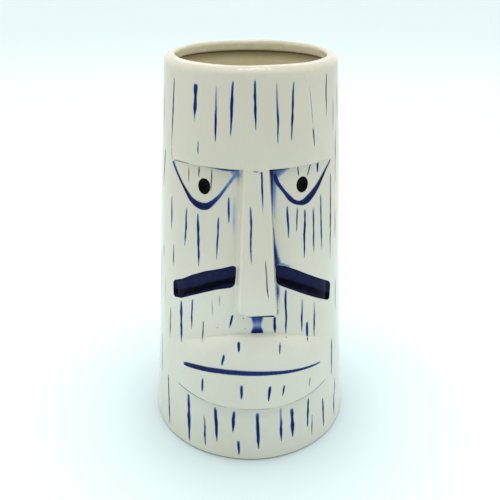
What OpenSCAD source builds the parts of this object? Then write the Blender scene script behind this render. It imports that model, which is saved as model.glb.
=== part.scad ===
// Tiki mug: a tall tapered ceramic mug with a stylised face in relief.
// The casting is one piece of clay. Everything in blue and black is coloured glaze that
// fills a groove or pocket of the casting, so each of those is a solid of its own.
// +Z is up, the face looks along -Y, and the origin is the centre of the foot's underside.
// An angle is measured round the mug from the nose, and is positive towards +X.

/* [Mug] */
// Overall height, foot to rim
height = 160; // [156:1:164]
// Outer radius at the foot
foot_r = 43.5; // [42.5:0.5:44.5]
// Outer radius at the rim, if the taper ran straight up to it
rim_r = 32.5; // [32:0.25:33]
// Radius of the rim's outer edge
rim_outer_round = 3.4; // [3:0.1:3.6]
// Radius of the rim's inner edge
rim_inner_round = 1.1; // [1:0.1:1.3]
// Height of the thick band inside the rim
rim_band = 3.2; // [3:0.1:4]
// Wall thickness just under the rim band
wall_top = 2.8; // [2.6:0.1:3.2]
// Wall thickness at the floor, away from the face
wall_foot = 9; // [8.5:0.5:9.5]
// Thickness of the floor
floor_t = 7; // [6:0.5:9]
// Thickness of the glaze inside the mug
liner_t = 0.4; // [0.3:0.1:0.6]

/* [Foot] */
// Height of the unglazed foot ring
ring_h = 0.5; // [0.4:0.1:1]
// Width of the unglazed foot ring
ring_w = 7; // [5:0.5:9]
// How far the foot ring stands in from the wall's outer edge
ring_inset = 0.4; // [0.3:0.1:1]

/* [Face] */
// Height of the brow's lower edge
brow_z = 124.7; // [123:0.1:126]
// How far behind the mug's axis the flatter face is centred
face_shift = 7.5; // [6:0.5:8]
// How far the face is cut back below the brow, at the middle
brow_depth = 3.1; // [2.5:0.1:3.3]
// How far the face is cut back above the mouth, at the middle
cheek_depth = 1.7; // [1.5:0.1:2]
// Wall thickness behind the cut-back face
face_wall = 4.6; // [4.2:0.1:4.8]

/* [Nose] */
// Height of the nose's lower edge
nose_z = 69.1; // [68:0.1:71]
// How far the tip of the nose stands out of the taper
nose_out = 3.5; // [3:0.1:4]
// Half the width of the nose's flat front at the brow
nose_top_w = 4.4; // [4:0.1:4.6]
// Half the width of the nose's flat front at the tip
nose_tip_w = 7.1; // [6.5:0.1:7.2]
// How far the nose stands to one side of the middle, at the brow
nose_top_x = 0.5; // [0:0.1:0.6]
// How far the nose stands to one side of the middle, at the tip
nose_tip_x = 1; // [0:0.1:1.1]

/* [Mouth] */
// Height of the lips' upper edge, at the middle
lip_top_z = 59.5; // [58:0.1:60]
// Radius of the arc that the lips' upper edge makes, seen from in front
lip_arc_r = 57.5; // [55:0.5:60]
// Height of the lips' lower edge, at the middle
lip_low_z = 26.8; // [26:0.1:28]
// How far the lips stand out of the taper, at the middle
lip_out = 3; // [2.6:0.1:3.2]
// How far the lips' upper edge stands out of the taper, at the middle
lip_top_out = 0.8; // [0.6:0.1:1]
// Tilt of the lips' lower edge, which rises towards the cheeks
lip_low_tilt = 8; // [6:1:9]

/* [Glaze] */
// Depth of the painted grain
grain_t = 0.5; // [0.4:0.1:0.6]
// Depth of the eye and mouth grooves
groove_t = 0.8; // [0.7:0.1:0.9]
// Depth of the two cheek pockets
pocket_t = 2.2; // [2:0.1:2.3]
// Thickness of the glaze that lines a cheek pocket
pocket_glaze_t = 1.2; // [1:0.1:1.4]

/* [Hidden] */
$fn = 96;

clay_colour = [0.86, 0.85, 0.78];
bisque_colour = [0.78, 0.74, 0.66];
liner_colour = [0.72, 0.66, 0.5];
navy_colour = [0.05, 0.08, 0.3];
blue_colour = [0.25, 0.38, 0.62];
pupil_colour = [0.02, 0.02, 0.03];

far = 70;                       // a radius outside everything
taper = (rim_r - foot_r) / height;
rim_z = height - rim_outer_round;    // where the rim's outer edge begins to turn in
band_z = height - rim_band;     // lower edge of the thick band inside the rim
lip_shift = 6.8;                // how far in front of the axis the lips are centred
lip_slope = 0.25;               // how far the upper lip comes forward for each mm down
lip_reach = 6;                  // how far below its lower edge the lip form is begun
nose_flare = 0.2;               // how much the nose's flanks widen for each mm of depth
nose_root = 9;                  // how deep the nose reaches into the wall
brow_overlap = 2;               // how far the nose and the lips run on past the edge above
face_low_z = lip_low_z + 4;     // where the flatter face begins, hidden behind the lips
backing_low = 8;                // the wall behind the face begins this far above the floor's round
backing_over = 4;               // and ends this far above the brow
prism_start = 20;               // outward prisms begin this far from the axis
prism_length = 40;
band_step = 0.6;                // height of the slope under the rim band
cavity_round = 5;               // radius inside, between the floor and the wall

function outer_r(z) = foot_r + taper * z;
function inner_r(z) =
    outer_r(band_z) - wall_top
    + (outer_r(floor_t) - wall_foot - outer_r(band_z) + wall_top)
    * (band_z - z) / (band_z - floor_t);
crest_r = outer_r(rim_z) - rim_outer_round;    // radius of the rim's highest circle
mouth_r = crest_r - rim_inner_round;           // narrowest radius, where a lid or a hand goes in

// The flatter face is a cone about an upright axis set back by face_shift.
function face_r(z) =
    outer_r(z) + face_shift
    - (cheek_depth + (brow_depth - cheek_depth) * (z - lip_top_z) / (brow_z - lip_top_z));
// Distance of the nose's front from the axis.
function nose_y(z) = outer_r(z) + nose_out * (brow_z - z) / (brow_z - nose_z);
// Radii of the two cones, set forward by lip_shift, that bound the lips.
function lip_front_r(z) = outer_r(z) + lip_out - lip_shift;
function lip_upper_r(z) = outer_r(z) + lip_top_out - lip_shift + lip_slope * (lip_top_z - z);

// Distance from the axis, at an angle from the nose, to a circle centred shift behind it.
function off_centre(r, shift, angle) =
    -shift * cos(angle) + sqrt(max(r * r - pow(shift * sin(angle), 2), 0));
function has_lips(angle, z) =
    let (x = outer_r(z) * sin(angle))
    z > lip_low_z && abs(x) < lip_arc_r
    && z < lip_top_z - lip_arc_r + sqrt(lip_arc_r * lip_arc_r - x * x);
// Distance of the face or the lips from the axis, whichever is in front.
function form_r(angle, z) =
    let (flat = z > face_low_z && z < brow_z
             ? min(outer_r(z), off_centre(face_r(z), face_shift, angle)) : outer_r(z))
    has_lips(angle, z)
        ? max(flat, min(off_centre(lip_front_r(z), -lip_shift, angle),
                        off_centre(lip_upper_r(z), -lip_shift, angle)))
        : flat;
// A place drawn on the plain taper, carried straight back or forward to the face.
function onto_face_once(point, angle) =
    asin(outer_r(point[1]) * sin(point[0]) / form_r(angle, point[1]));
function onto_face(point) =
    let (angle = onto_face_once(point, onto_face_once(point, point[0])))
    [for (i = [0:len(point) - 1]) i == 0 ? angle : point[i]];

// Radial frustum between two heights, for a radius that changes straight with height.
module frustum(z0, z1, r0, r1, shift_y = 0) {
    translate([0, shift_y, z0]) cylinder(h = z1 - z0, r1 = r0, r2 = r1);
}

// ---- Outer form. Each module takes an inset, and then makes the same shape that much
// ---- smaller, so that a form less its inset form is a skin for glaze to fill.

module log_form(inset = 0) {
    rotate_extrude()
        polygon([[0, ring_h], [outer_r(ring_h) - inset, ring_h],
                 [outer_r(rim_z) - inset, rim_z], [0, rim_z]]);
}

module face_cut(inset = 0) {
    z0 = face_low_z;
    z1 = brow_z + inset;
    difference() {
        frustum(z0, z1, far, far);
        frustum(z0 - 1, z1 + 1, face_r(z0 - 1) - inset, face_r(z1 + 1) - inset, face_shift);
    }
}

module nose_form(inset = 0) {
    z0 = nose_z + inset;
    z1 = brow_z + inset + brow_overlap;
    front0 = -nose_y(z0) + inset;
    front1 = -nose_y(z1) + inset;
    w0 = nose_tip_w - inset;
    w1 = nose_top_w - inset;
    flare = nose_flare * nose_root;
    x0 = nose_tip_x;
    x1 = nose_top_x;
    points = [
        [x0 - w0, front0, z0], [x0 + w0, front0, z0],
        [x0 + w0 + flare, front0 + nose_root, z0], [x0 - w0 - flare, front0 + nose_root, z0],
        [x1 - w1, front1, z1], [x1 + w1, front1, z1],
        [x1 + w1 + flare, front1 + nose_root, z1], [x1 - w1 - flare, front1 + nose_root, z1]];
    polyhedron(points, [[0, 1, 2, 3], [7, 6, 5, 4], [0, 4, 5, 1],
                        [1, 5, 6, 2], [2, 6, 7, 3], [3, 7, 4, 0]]);
}

module lips_form(inset = 0) {
    z0 = lip_low_z - lip_reach;
    z1 = lip_top_z + brow_overlap;
    difference() {
        intersection() {
            frustum(z0, z1, lip_front_r(z0) - inset, lip_front_r(z1) - inset, -lip_shift);
            frustum(z0, z1, lip_upper_r(z0) - inset, lip_upper_r(z1) - inset, -lip_shift);
            translate([0, 0, lip_top_z - lip_arc_r])
                rotate([90, 0, 0]) cylinder(h = far, r = lip_arc_r - inset);
        }
        translate([0, -outer_r(lip_low_z) - lip_out, lip_low_z + inset])
            rotate([lip_low_tilt, 0, 0])
                translate([-far, -far, -far]) cube([2 * far, 3 * far, far]);
    }
}

module face_form(inset = 0) {
    difference() {
        log_form(inset);
        face_cut(inset);
    }
    nose_form(inset);
    lips_form(inset);
}

module face_skin(depth) {
    difference() {
        face_form();
        face_form(depth);
    }
}

module log_skin(depth) {
    difference() {
        log_form();
        log_form(depth);
    }
}

// ---- Inside.

module cavity(inset = 0) {
    z0 = floor_t + inset;
    z1 = band_z - band_step;
    round_z = z0 + cavity_round;
    difference() {
        rotate_extrude() union() {
            polygon([[0, z0], [inner_r(z0) - inset - cavity_round, z0],
                     [inner_r(round_z) - inset - cavity_round, round_z],
                     [inner_r(round_z) - inset, round_z], [inner_r(z1) - inset, z1],
                     [mouth_r - inset, band_z], [mouth_r - inset, height + 1], [0, height + 1]]);
            translate([inner_r(round_z) - inset - cavity_round, round_z]) circle(r = cavity_round);
        }
        face_backing(inset);
    }
}

// What keeps the wall thick behind the cut-back face.
module face_backing(inset = 0) {
    z0 = floor_t + cavity_round + backing_low;
    z1 = brow_z + backing_over;
    behind = face_wall + inset;
    difference() {
        frustum(z0, z1, far, far);
        frustum(z0 - 1, z1 + 1, face_r(z0 - 1) - behind, face_r(z1 + 1) - behind, face_shift);
    }
}

// ---- Outlines of the glaze. A prism points outwards at one angle, and its outline is
// ---- drawn flat in front of it: across by arc, up by height.

module outward_prism(angle) {
    rotate([0, 0, angle]) translate([0, -prism_start, 0]) rotate([90, 0, 0])
        linear_extrude(height = prism_length) children();
}

// Place of (angle, height) in the outline of a prism at prism_angle.
function across(point, prism_angle) =
    [outer_r(point[1]) * sin(point[0] - prism_angle), point[1]];

// A band along a line of [angle, height, width] points: up one side and down the other.
function side_step(line, i, prism_angle) =
    let (a = across(line[max(i - 1, 0)], prism_angle),
         b = across(line[min(i + 1, len(line) - 1)], prism_angle),
         along = (b - a) / norm(b - a))
    [-along[1], along[0]] * line[i][2] / 2;
function band_outline(line, prism_angle) = concat(
    [for (i = [0:len(line) - 1]) across(line[i], prism_angle) + side_step(line, i, prism_angle)],
    [for (i = [len(line) - 1:-1:0])
        across(line[i], prism_angle) - side_step(line, i, prism_angle)]);

module band_prism(line, prism_angle) {
    outward_prism(prism_angle) polygon(band_outline(line, prism_angle));
}

module face_band_prism(line, prism_angle) {
    band_prism([for (p = line) onto_face(p)], prism_angle);
}

// One brush stroke of the grain, [top angle, top height, low angle, low height, width]:
// a spindle that is widest above its middle.
SPINDLE = [[0, 0.25], [0.1, 0.8], [0.35, 1], [0.7, 0.85], [0.92, 0.45], [1, 0.1]];
function stroke_line(stroke) =
    let (top = [stroke[0], stroke[1]], low = [stroke[2], stroke[3]])
    [for (s = SPINDLE) let (p = top + (low - top) * s[0]) [p[0], p[1], stroke[4] * s[1]]];

module stroke_prisms(strokes) {
    for (s = strokes) band_prism(stroke_line(s), (s[0] + s[2]) / 2);
}

module face_stroke_prisms(strokes) {
    for (s = strokes) face_band_prism(stroke_line(s), (s[0] + s[2]) / 2);
}

// ---- Places of the glaze, as [angle, height] or [angle, height, width].

PUPIL_LEFT = onto_face([-30.5, 116.8]);
PUPIL_RIGHT = onto_face([30, 117.2]);
pupil_w = 5.3;
pupil_h = 5.6;
pupil_tilt = 13;
pupil_step = 15;                // angle between the corners of a pupil's outline

EYE_LEFT = [[-57.5, 123.4, 0.9], [-52, 119.2, 0.7], [-47.5, 116, 0.7], [-43, 113, 1],
            [-40, 111, 1.3], [-36, 109.7, 1.7], [-32, 109.1, 1.9], [-28, 109.5, 1.7],
            [-24, 111.6, 1.2], [-20.5, 113.9, 0.9], [-16, 117.8, 0.8], [-10.4, 122.6, 0.9]];
EYE_RIGHT = [[11.4, 122.2, 1.4], [14, 118.6, 1.1], [18, 115.4, 0.9], [21, 113, 1.3],
             [24, 111.3, 1.1], [27.5, 110.4, 1], [31, 110.4, 1.6], [34, 111.2, 2],
             [37.5, 112.8, 1.8], [41.5, 115, 1.5], [45, 117.4, 1.1], [50, 120.6, 0.7],
             [56, 123.6, 0.5]];

BROW_LEFT = [[-26.5, 124.2, 0.3], [-20, 124.1, 0.7], [-14, 123.6, 1.4], [-11.5, 122.6, 3],
             [-9, 122, 4.2]];
BROW_RIGHT = [[9, 122.2, 4.6], [12, 123, 2.8], [16, 123.7, 1.4], [22, 124.2, 0.5]];

NOSE_SIDE_UPPER = [[10.2, 124.2, 1.6], [10.6, 118, 1.6], [10.8, 110, 1.1], [11, 104, 0.5],
                   [11.3, 100, 0.8], [11.8, 94, 1.4], [12.6, 88.9, 2]];
NOSE_SIDE_LOWER = [[13.6, 79, 1.1], [13.7, 76, 1], [13.9, 73, 0.6], [14, 68, 0.4]];

BAR_LEFT = [[-54.8, 75], [-46, 77.9], [-38.5, 80.8], [-29.5, 83.6], [-21.5, 85.3],
            [-12.5, 87.6], [-10.2, 86.2], [-10.9, 79.1], [-21.5, 77.3], [-29.5, 75.2],
            [-38.5, 72.5], [-47, 69.6], [-54, 68.5], [-55.3, 70.3]];
BAR_RIGHT = [[12.4, 86], [14, 87.2], [19, 86.3], [26, 84], [39, 79.2], [53.9, 73.6],
             [55.4, 71.8], [54.2, 67], [51, 66.2], [41, 70], [31.3, 73.4], [23, 76.4],
             [14.4, 79.6], [12.6, 81.4]];

philtrum_x = 1.3;
PHILTRUM = [[-2.7, 68.6], [2.7, 68.6], [2.5, 67.5], [1.9, 65], [1.5, 62.4], [2, 60.8],
            [2.2, 59.8], [-2.2, 59.8], [-2, 60.8], [-1.5, 62.4], [-1.9, 65], [-2.5, 67.5]];

MOUTH = [[-44.1, 40.8, 0.8], [-41.2, 41.6, 1.3], [-33.6, 42.9, 1.5], [-20.3, 44.3, 1.5],
         [-9.7, 44.7, 1.5], [0, 44.6, 1.4], [9.7, 44.2, 1.2], [19.2, 43.4, 1],
         [27.6, 42.5, 0.8], [35.7, 41.5, 0.7], [43.2, 40.4, 0.5]];

// ---- Grain: [top angle, top height, low angle, low height, width].

GRAIN_FOREHEAD = [
    [-57.5, 153.5, -59.5, 128.5, 0.9], [-37, 153, -38, 140, 1.6], [-23, 153, -23.5, 134, 0.9],
    [-12.8, 155, -14.3, 136.3, 1], [0, 155.5, 0.3, 138.5, 0.9], [12.6, 154.4, 13.8, 133.8, 0.8],
    [23.4, 154.5, 21.8, 134.3, 0.9], [34.8, 153, 38, 137, 0.5], [37.6, 138, 39, 130.8, 0.6],
    [50.8, 155.5, 50.2, 140.3, 0.7], [60, 146, 60, 134, 0.6], [-35, 133.7, -35, 128.5, 0.5]];
GRAIN_EYES = [
    [-42, 123, -42, 117, 0.5], [-34.3, 124, -34.3, 119.6, 0.7], [-25.6, 124, -26, 115, 0.55],
    [26.8, 124.2, 27.4, 120.3, 0.6], [36.2, 124.2, 33.4, 119.8, 0.6],
    [42.3, 124.2, 42, 120.3, 1]];
GRAIN_NOSE = [
    [3.9, 123.8, 4.7, 109, 0.7], [-2.4, 112, -2, 90.2, 0.75], [6.1, 92, 7.6, 76.8, 0.5]];
GRAIN_CHEEK_LEFT = [
    [-58, 110, -58, 95.5, 0.8], [-43.4, 107.4, -44.5, 91.8, 0.9], [-34.8, 106.2, -33.5, 85, 1],
    [-20.9, 106.2, -22, 89, 0.8], [-14.8, 114, -14.9, 103.6, 0.8], [-11.6, 114.5, -11.8, 98, 1.5],
    [-55, 91, -55.5, 81, 0.8], [-46.8, 68.4, -46.5, 49.5, 1.2], [-37.6, 71, -38.4, 57.5, 0.8],
    [-29.8, 63, -30.5, 53.5, 0.6], [-24.6, 72.8, -24.2, 65.5, 0.4], [-20, 75.3, -19.8, 70, 0.4],
    [-58, 62, -58.5, 47, 0.8], [-12.2, 67.2, -14, 61.2, 0.85]];
GRAIN_CHEEK_RIGHT = [
    [19.7, 110.2, 20.8, 97.2, 0.9], [26.5, 109, 25.9, 99.3, 0.7], [32, 107.6, 31.2, 88.1, 0.9],
    [38.7, 107.5, 38.8, 89, 0.8], [44.8, 111.9, 45.8, 89.3, 0.8], [56, 118.5, 55, 83, 0.8],
    [18.8, 77, 18.9, 57.8, 0.9], [29.6, 71.8, 29.2, 57, 0.7], [33, 61, 33.2, 52.6, 0.9],
    [38.7, 68.5, 38.6, 53, 0.7], [12.2, 66.2, 12.2, 58.8, 1.1]];
GRAIN_LIPS = [
    [-8.6, 57.6, -8.7, 53.4, 0.95], [-17, 52, -18.3, 46.8, 0.8], [14.8, 56.6, 14.4, 51.4, 0.6],
    [-29.8, 38.9, -30.4, 31.8, 0.9], [-7, 39.3, -7, 32.3, 0.9], [9, 38.4, 7.9, 31.1, 0.9],
    [17.3, 37.8, 16.1, 32.4, 0.7], [34.5, 36.6, 33.8, 32.2, 0.5]];
GRAIN_CHIN = [
    [-40.2, 26.4, -39, 2.4, 1.3], [-29, 19, -28, 3.6, 0.8], [-22, 24.7, -20.8, 7.4, 1.1],
    [-11, 24.3, -11.7, 13.6, 1.2], [-8.5, 10, -8, 2.4, 0.9], [2.1, 23.9, 2.8, 5.7, 1.2],
    [15.3, 25.1, 16, 8, 1], [22.2, 23.3, 23, 8.4, 1.3], [33.7, 25, 33, 10.2, 0.9],
    [36.5, 15.8, 36.5, 4.2, 0.5], [46, 20.5, 47, 4.5, 1], [60, 17, 60, 4, 1],
    [-60, 28, -57.5, 2.4, 1], [42.8, 30.5, 42.8, 26.9, 0.8]];
GRAIN_TEMPLE_LEFT = [
    [-74, 149, -75, 132, 0.8], [-70, 126, -72, 111, 1], [-70, 87, -70, 81, 0.9],
    [-75, 82, -75, 60, 0.8], [-72, 44, -71, 24, 0.8], [-66, 74, -66, 62, 0.5]];
GRAIN_TEMPLE_RIGHT = [
    [64.5, 134, 63.5, 113, 0.9], [63, 103, 63, 90, 0.9], [64, 72, 64, 57, 0.7],
    [57, 46, 56.5, 27, 1], [68, 150, 69, 138, 0.7], [62, 24, 61.5, 15, 0.9]];

// Round the sides and the back the grain runs in staggered rows.
// Each row is [top of its strokes, their usual length, first angle, angle between strokes].
GRAIN_ROWS = [[154, 18, 84, 10.2], [133, 20, 88, 11.4], [110, 22, 82, 10.6],
              [84, 19, 86, 11.2], [61, 21, 83, 10.4], [35, 24, 87, 9.8]];
side_end = 112;                 // angle where the sides end and the back begins
row_drop = 7;                   // a stroke's top is up to this far below its row's height
row_spread = 4;                 // its angle may stray half this far either way
row_lean = 1.6;                 // and its low end half this far again
least_share = 0.6;              // its length is at least this share of its row's usual length
share_range = 0.6;              // and at most this share more
least_width = 0.5;
width_range = 0.7;
row_floor_z = 3;                // no stroke of a row ends below this height
// A number from 0 to 1 that looks random, from the golden ratio.
function scatter(i, j) = (i * 0.618034 + j * 0.381966 + i * j * 0.137) % 1;
function row_stroke(row, i, j) =
    let (angle = row[2] + i * row[3] + row_spread * (scatter(i, j) - 0.5),
         top = row[0] - row_drop * scatter(i + 3, j + 1),
         length = row[1] * (least_share + share_range * scatter(i + 7, j + 5)),
         lean = row_lean * (scatter(i + 11, j) - 0.5),
         width = least_width + width_range * scatter(i + 5, j + 9))
    [angle, top, angle + lean, max(top - length, row_floor_z), width];
ROW_STROKES = [for (j = [0:len(GRAIN_ROWS) - 1])
    for (i = [0:floor((360 - 2 * GRAIN_ROWS[j][2]) / GRAIN_ROWS[j][3])])
        row_stroke(GRAIN_ROWS[j], i, j)];
GRAIN_SIDE_RIGHT = concat(GRAIN_TEMPLE_RIGHT, [for (s = ROW_STROKES) if (s[0] < side_end) s]);
GRAIN_SIDE_LEFT = concat(GRAIN_TEMPLE_LEFT, [for (s = ROW_STROKES) if (s[0] > 360 - side_end) s]);
GRAIN_BACK = [for (s = ROW_STROKES) if (s[0] >= side_end && s[0] <= 360 - side_end) s];

module pupil_prism(place, tilt) {
    outward_prism(place[0]) translate([0, place[1]]) rotate(tilt)
        polygon([for (a = [0:pupil_step:359]) [pupil_w / 2 * cos(a), pupil_h / 2 * sin(a)]]);
}

// Where the prisms of the bars, eyes, brows and the wash beside the nose point.
bar_angle = 32;
eye_angle = 33;
brow_angle = 16;
nose_side_angle = 12;
module bar_prism(outline, prism_angle) {
    outward_prism(prism_angle) polygon([for (p = outline) across(onto_face(p), prism_angle)]);
}

module philtrum_prism() {
    outward_prism(0) translate([philtrum_x, 0]) polygon(PHILTRUM);
}

// Everything that is cut as deep as the grain, by the form that it is cut into.
module grain_cuts_on_face() {
    face_stroke_prisms(
        concat(GRAIN_EYES, GRAIN_NOSE, GRAIN_CHEEK_LEFT, GRAIN_CHEEK_RIGHT, GRAIN_LIPS));
    face_band_prism(BROW_LEFT, -brow_angle);
    face_band_prism(BROW_RIGHT, brow_angle);
    face_band_prism(NOSE_SIDE_UPPER, nose_side_angle);
    face_band_prism(NOSE_SIDE_LOWER, nose_side_angle);
    philtrum_prism();
}
module grain_cuts_on_log() {
    stroke_prisms(concat(GRAIN_FOREHEAD, GRAIN_CHIN, GRAIN_SIDE_LEFT, GRAIN_SIDE_RIGHT, GRAIN_BACK));
}
module groove_cuts() {
    pupil_prism(PUPIL_LEFT, pupil_tilt);
    pupil_prism(PUPIL_RIGHT, -pupil_tilt);
    face_band_prism(EYE_LEFT, -eye_angle);
    face_band_prism(EYE_RIGHT, eye_angle);
    face_band_prism(MOUTH, 0);
}
module pocket_cuts() {
    bar_prism(BAR_LEFT, -bar_angle);
    bar_prism(BAR_RIGHT, bar_angle);
}

// ---- The pieces.

module cast_body() {
    color(clay_colour) difference() {
        union() {
            face_form();
            rim();
        }
        cavity();
        difference() {
            union() {
                grain_cuts_on_face();
                grain_cuts_on_log();
            }
            face_form(grain_t);
        }
        difference() {
            groove_cuts();
            face_form(groove_t);
        }
        difference() {
            pocket_cuts();
            face_form(pocket_t);
        }
    }
}

// A round ring about the axis.
module ring(radius, z, thickness_r) {
    rotate_extrude() translate([radius, z]) circle(r = thickness_r);
}

// The rim is round from the wall's outside over its crest and down to the mouth.
module rim() {
    root_z = rim_z - rim_inner_round;
    inner_z = height - rim_inner_round;
    rotate_extrude()
        polygon([[mouth_r, root_z], [outer_r(rim_z), root_z], [outer_r(rim_z), rim_z],
                 [crest_r, rim_z], [crest_r, inner_z], [mouth_r, inner_z]]);
    difference() {
        ring(crest_r, rim_z, rim_outer_round);
        cylinder(h = height + far, r = crest_r);
    }
    intersection() {
        ring(crest_r, inner_z, rim_inner_round);
        cylinder(h = height + far, r = crest_r);
    }
}

module foot_ring() {
    outer = outer_r(0) - ring_inset;
    color(bisque_colour) difference() {
        cylinder(h = ring_h, r = outer);
        translate([0, 0, -1]) cylinder(h = ring_h + 2, r = outer - ring_w);
    }
}

module liner_glaze() {
    color(liner_colour) difference() {
        intersection() {
            cavity();
            frustum(0, band_z - band_step, far, far);
        }
        cavity(liner_t);
    }
}

module pupil(place, tilt) {
    color(pupil_colour) intersection() {
        face_skin(groove_t);
        pupil_prism(place, tilt);
    }
}

module eye_line(line, prism_angle) {
    color(navy_colour) intersection() {
        face_skin(groove_t);
        face_band_prism(line, prism_angle);
    }
}

module cheek_bar(outline, prism_angle) {
    color(navy_colour) intersection() {
        difference() {
            face_form(pocket_t - pocket_glaze_t);
            face_form(pocket_t);
        }
        bar_prism(outline, prism_angle);
    }
}

module wash(line, prism_angle) {
    color(blue_colour) intersection() {
        face_skin(grain_t);
        face_band_prism(line, prism_angle);
    }
}

module nose_side_wash() {
    wash(NOSE_SIDE_UPPER, nose_side_angle);
    wash(NOSE_SIDE_LOWER, nose_side_angle);
}

module philtrum_wash() {
    color(blue_colour) intersection() {
        face_skin(grain_t);
        philtrum_prism();
    }
}

module mouth_line() {
    color(navy_colour) intersection() {
        face_skin(groove_t);
        face_band_prism(MOUTH, 0);
    }
}

module face_grain(strokes) {
    color(navy_colour) intersection() {
        face_skin(grain_t);
        face_stroke_prisms(strokes);
    }
}

module log_grain(strokes) {
    color(navy_colour) intersection() {
        log_skin(grain_t);
        stroke_prisms(strokes);
    }
}

cast_body();
foot_ring();
liner_glaze();
pupil(PUPIL_LEFT, pupil_tilt);  // pupil_left
pupil(PUPIL_RIGHT, -pupil_tilt);  // pupil_right
eye_line(EYE_LEFT, -eye_angle);  // eye_line_left
eye_line(EYE_RIGHT, eye_angle);  // eye_line_right
wash(BROW_LEFT, -brow_angle);  // brow_wash_left
wash(BROW_RIGHT, brow_angle);  // brow_wash_right
nose_side_wash();
cheek_bar(BAR_LEFT, -bar_angle);  // cheek_bar_left
cheek_bar(BAR_RIGHT, bar_angle);  // cheek_bar_right
philtrum_wash();
mouth_line();
log_grain(GRAIN_FOREHEAD);  // grain_forehead
face_grain(GRAIN_EYES);  // grain_eyes
face_grain(GRAIN_NOSE);  // grain_nose
face_grain(GRAIN_CHEEK_LEFT);  // grain_cheek_left
face_grain(GRAIN_CHEEK_RIGHT);  // grain_cheek_right
face_grain(GRAIN_LIPS);  // grain_lips
log_grain(GRAIN_CHIN);  // grain_chin
log_grain(GRAIN_SIDE_LEFT);  // grain_side_left
log_grain(GRAIN_SIDE_RIGHT);  // grain_side_right
log_grain(GRAIN_BACK);  // grain_back
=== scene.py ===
"""The looks of a slip-cast, glazed ceramic tiki mug, built round its CAD frame.

The mug stands on z = 0 and faces -Y. An angle is measured round it from the nose, in
degrees, and is positive towards +X. Shapes are worked out in millimetres and become
metres when their mesh is made.
"""
import math

import bmesh
import bpy
import numpy as np
from mathutils import Matrix, Vector


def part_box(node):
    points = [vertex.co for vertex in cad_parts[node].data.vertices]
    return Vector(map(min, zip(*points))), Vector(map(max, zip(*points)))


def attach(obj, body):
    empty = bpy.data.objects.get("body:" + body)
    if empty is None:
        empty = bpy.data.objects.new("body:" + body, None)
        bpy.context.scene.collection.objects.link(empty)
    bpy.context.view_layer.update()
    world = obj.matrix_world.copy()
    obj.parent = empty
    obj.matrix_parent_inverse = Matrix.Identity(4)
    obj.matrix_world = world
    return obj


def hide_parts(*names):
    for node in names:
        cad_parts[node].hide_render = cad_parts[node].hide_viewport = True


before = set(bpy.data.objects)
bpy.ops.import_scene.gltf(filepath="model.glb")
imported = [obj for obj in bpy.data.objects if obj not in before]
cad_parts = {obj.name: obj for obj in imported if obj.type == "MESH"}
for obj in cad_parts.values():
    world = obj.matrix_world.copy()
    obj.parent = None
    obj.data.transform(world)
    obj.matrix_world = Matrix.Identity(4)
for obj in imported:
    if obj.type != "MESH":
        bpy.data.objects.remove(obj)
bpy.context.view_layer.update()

MM = 0.001

# ---- Sizes in millimetres, driven by the frame ----
body_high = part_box("cast_body")[1]
ring_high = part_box("foot_ring")[1]

HEIGHT = body_high.z / MM
RING_H = ring_high.z / MM
RING_R = ring_high.x / MM
RING_W = 7.0
TAPER = 11 / 160  # radius lost for each mm of height
FOOT_R = body_high.x / MM + TAPER * RING_H
FOOT_EDGE = 0.25  # radius of the glazed body's lower edge
FLOOR_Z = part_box("liner_glaze")[0].z / MM
BAND_Z = HEIGHT - 3.2  # lower edge of the thick band inside the rim
BAND_STEP = 0.6
RIM_OUTER_ROUND = 3.4  # the rim's outer edge is rounder than its inner one
RIM_INNER_ROUND = 1.1
RIM_Z = HEIGHT - RIM_OUTER_ROUND
LINER_T = 0.4
WALL_TOP = 2.8
WALL_FOOT = 9.0
CAVITY_ROUND = 5.0

BROW_Z = 124.7
FACE_LOW_Z = 58.8
FACE_SHIFT = 7.5  # how far behind the axis the flatter face is centred
BROW_DEPTH = 3.1
CHEEK_DEPTH = 1.7
FACE_WALL = 4.6

NOSE_Z = 69.1
NOSE_OUT = 3.5
NOSE_TOP_W = 4.4  # half widths of the nose's flat front
NOSE_TIP_W = 7.1
NOSE_TOP_X = 0.5  # the nose leans a little to one side
NOSE_TIP_X = 1.0
NOSE_FLARE = 0.2
NOSE_LEFT_ROUND = 3.2  # its left edge is rounder than its right one
NOSE_RIGHT_ROUND = 0.8

LIP_TOP_Z = 59.5
LIP_ARC_R = 57.5  # the lips' upper edge is an arc seen from in front
LIP_EDGE_R = 42.5  # and it lies this far from the axis
LIP_LOW_Z = 26.8
LIP_LOW_R = 44.3
LIP_OUT = 3.0
LIP_SHIFT = 6.8  # how far in front of the axis the lips are centred
LIP_TOP_OUT = 0.8  # how far the lips' upper edge stands out of the taper
LIP_SLOPE = 0.25  # how fast they come forward below it
LIP_LOW_TILT = math.radians(8)

MEAN_R = 38.5  # turns an angle into an arc length near the face


def outer_r(z):
    return FOOT_R - TAPER * z


def inner_r(z):
    top = outer_r(BAND_Z) - WALL_TOP
    low = outer_r(FLOOR_Z) - WALL_FOOT
    return top + (low - top) * (BAND_Z - z) / (BAND_Z - FLOOR_Z)


CREST_R = outer_r(RIM_Z) - RIM_OUTER_ROUND  # radius of the rim's highest circle
MOUTH_R = CREST_R - RIM_INNER_ROUND


# ---- Small tools for shapes ----
def soft_min(a, b, k):
    """The lower of a and b, with the corner between them rounded over about k."""
    h = np.clip(0.5 + 0.5 * (b - a) / k, 0, 1)
    return b + (a - b) * h - k * h * (1 - h)


def soft_max(a, b, k):
    return -soft_min(-a, -b, k)


def ramp(x, low, high):
    t = np.clip((x - low) / (high - low), 0, 1)
    return t * t * (3 - 2 * t)


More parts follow.
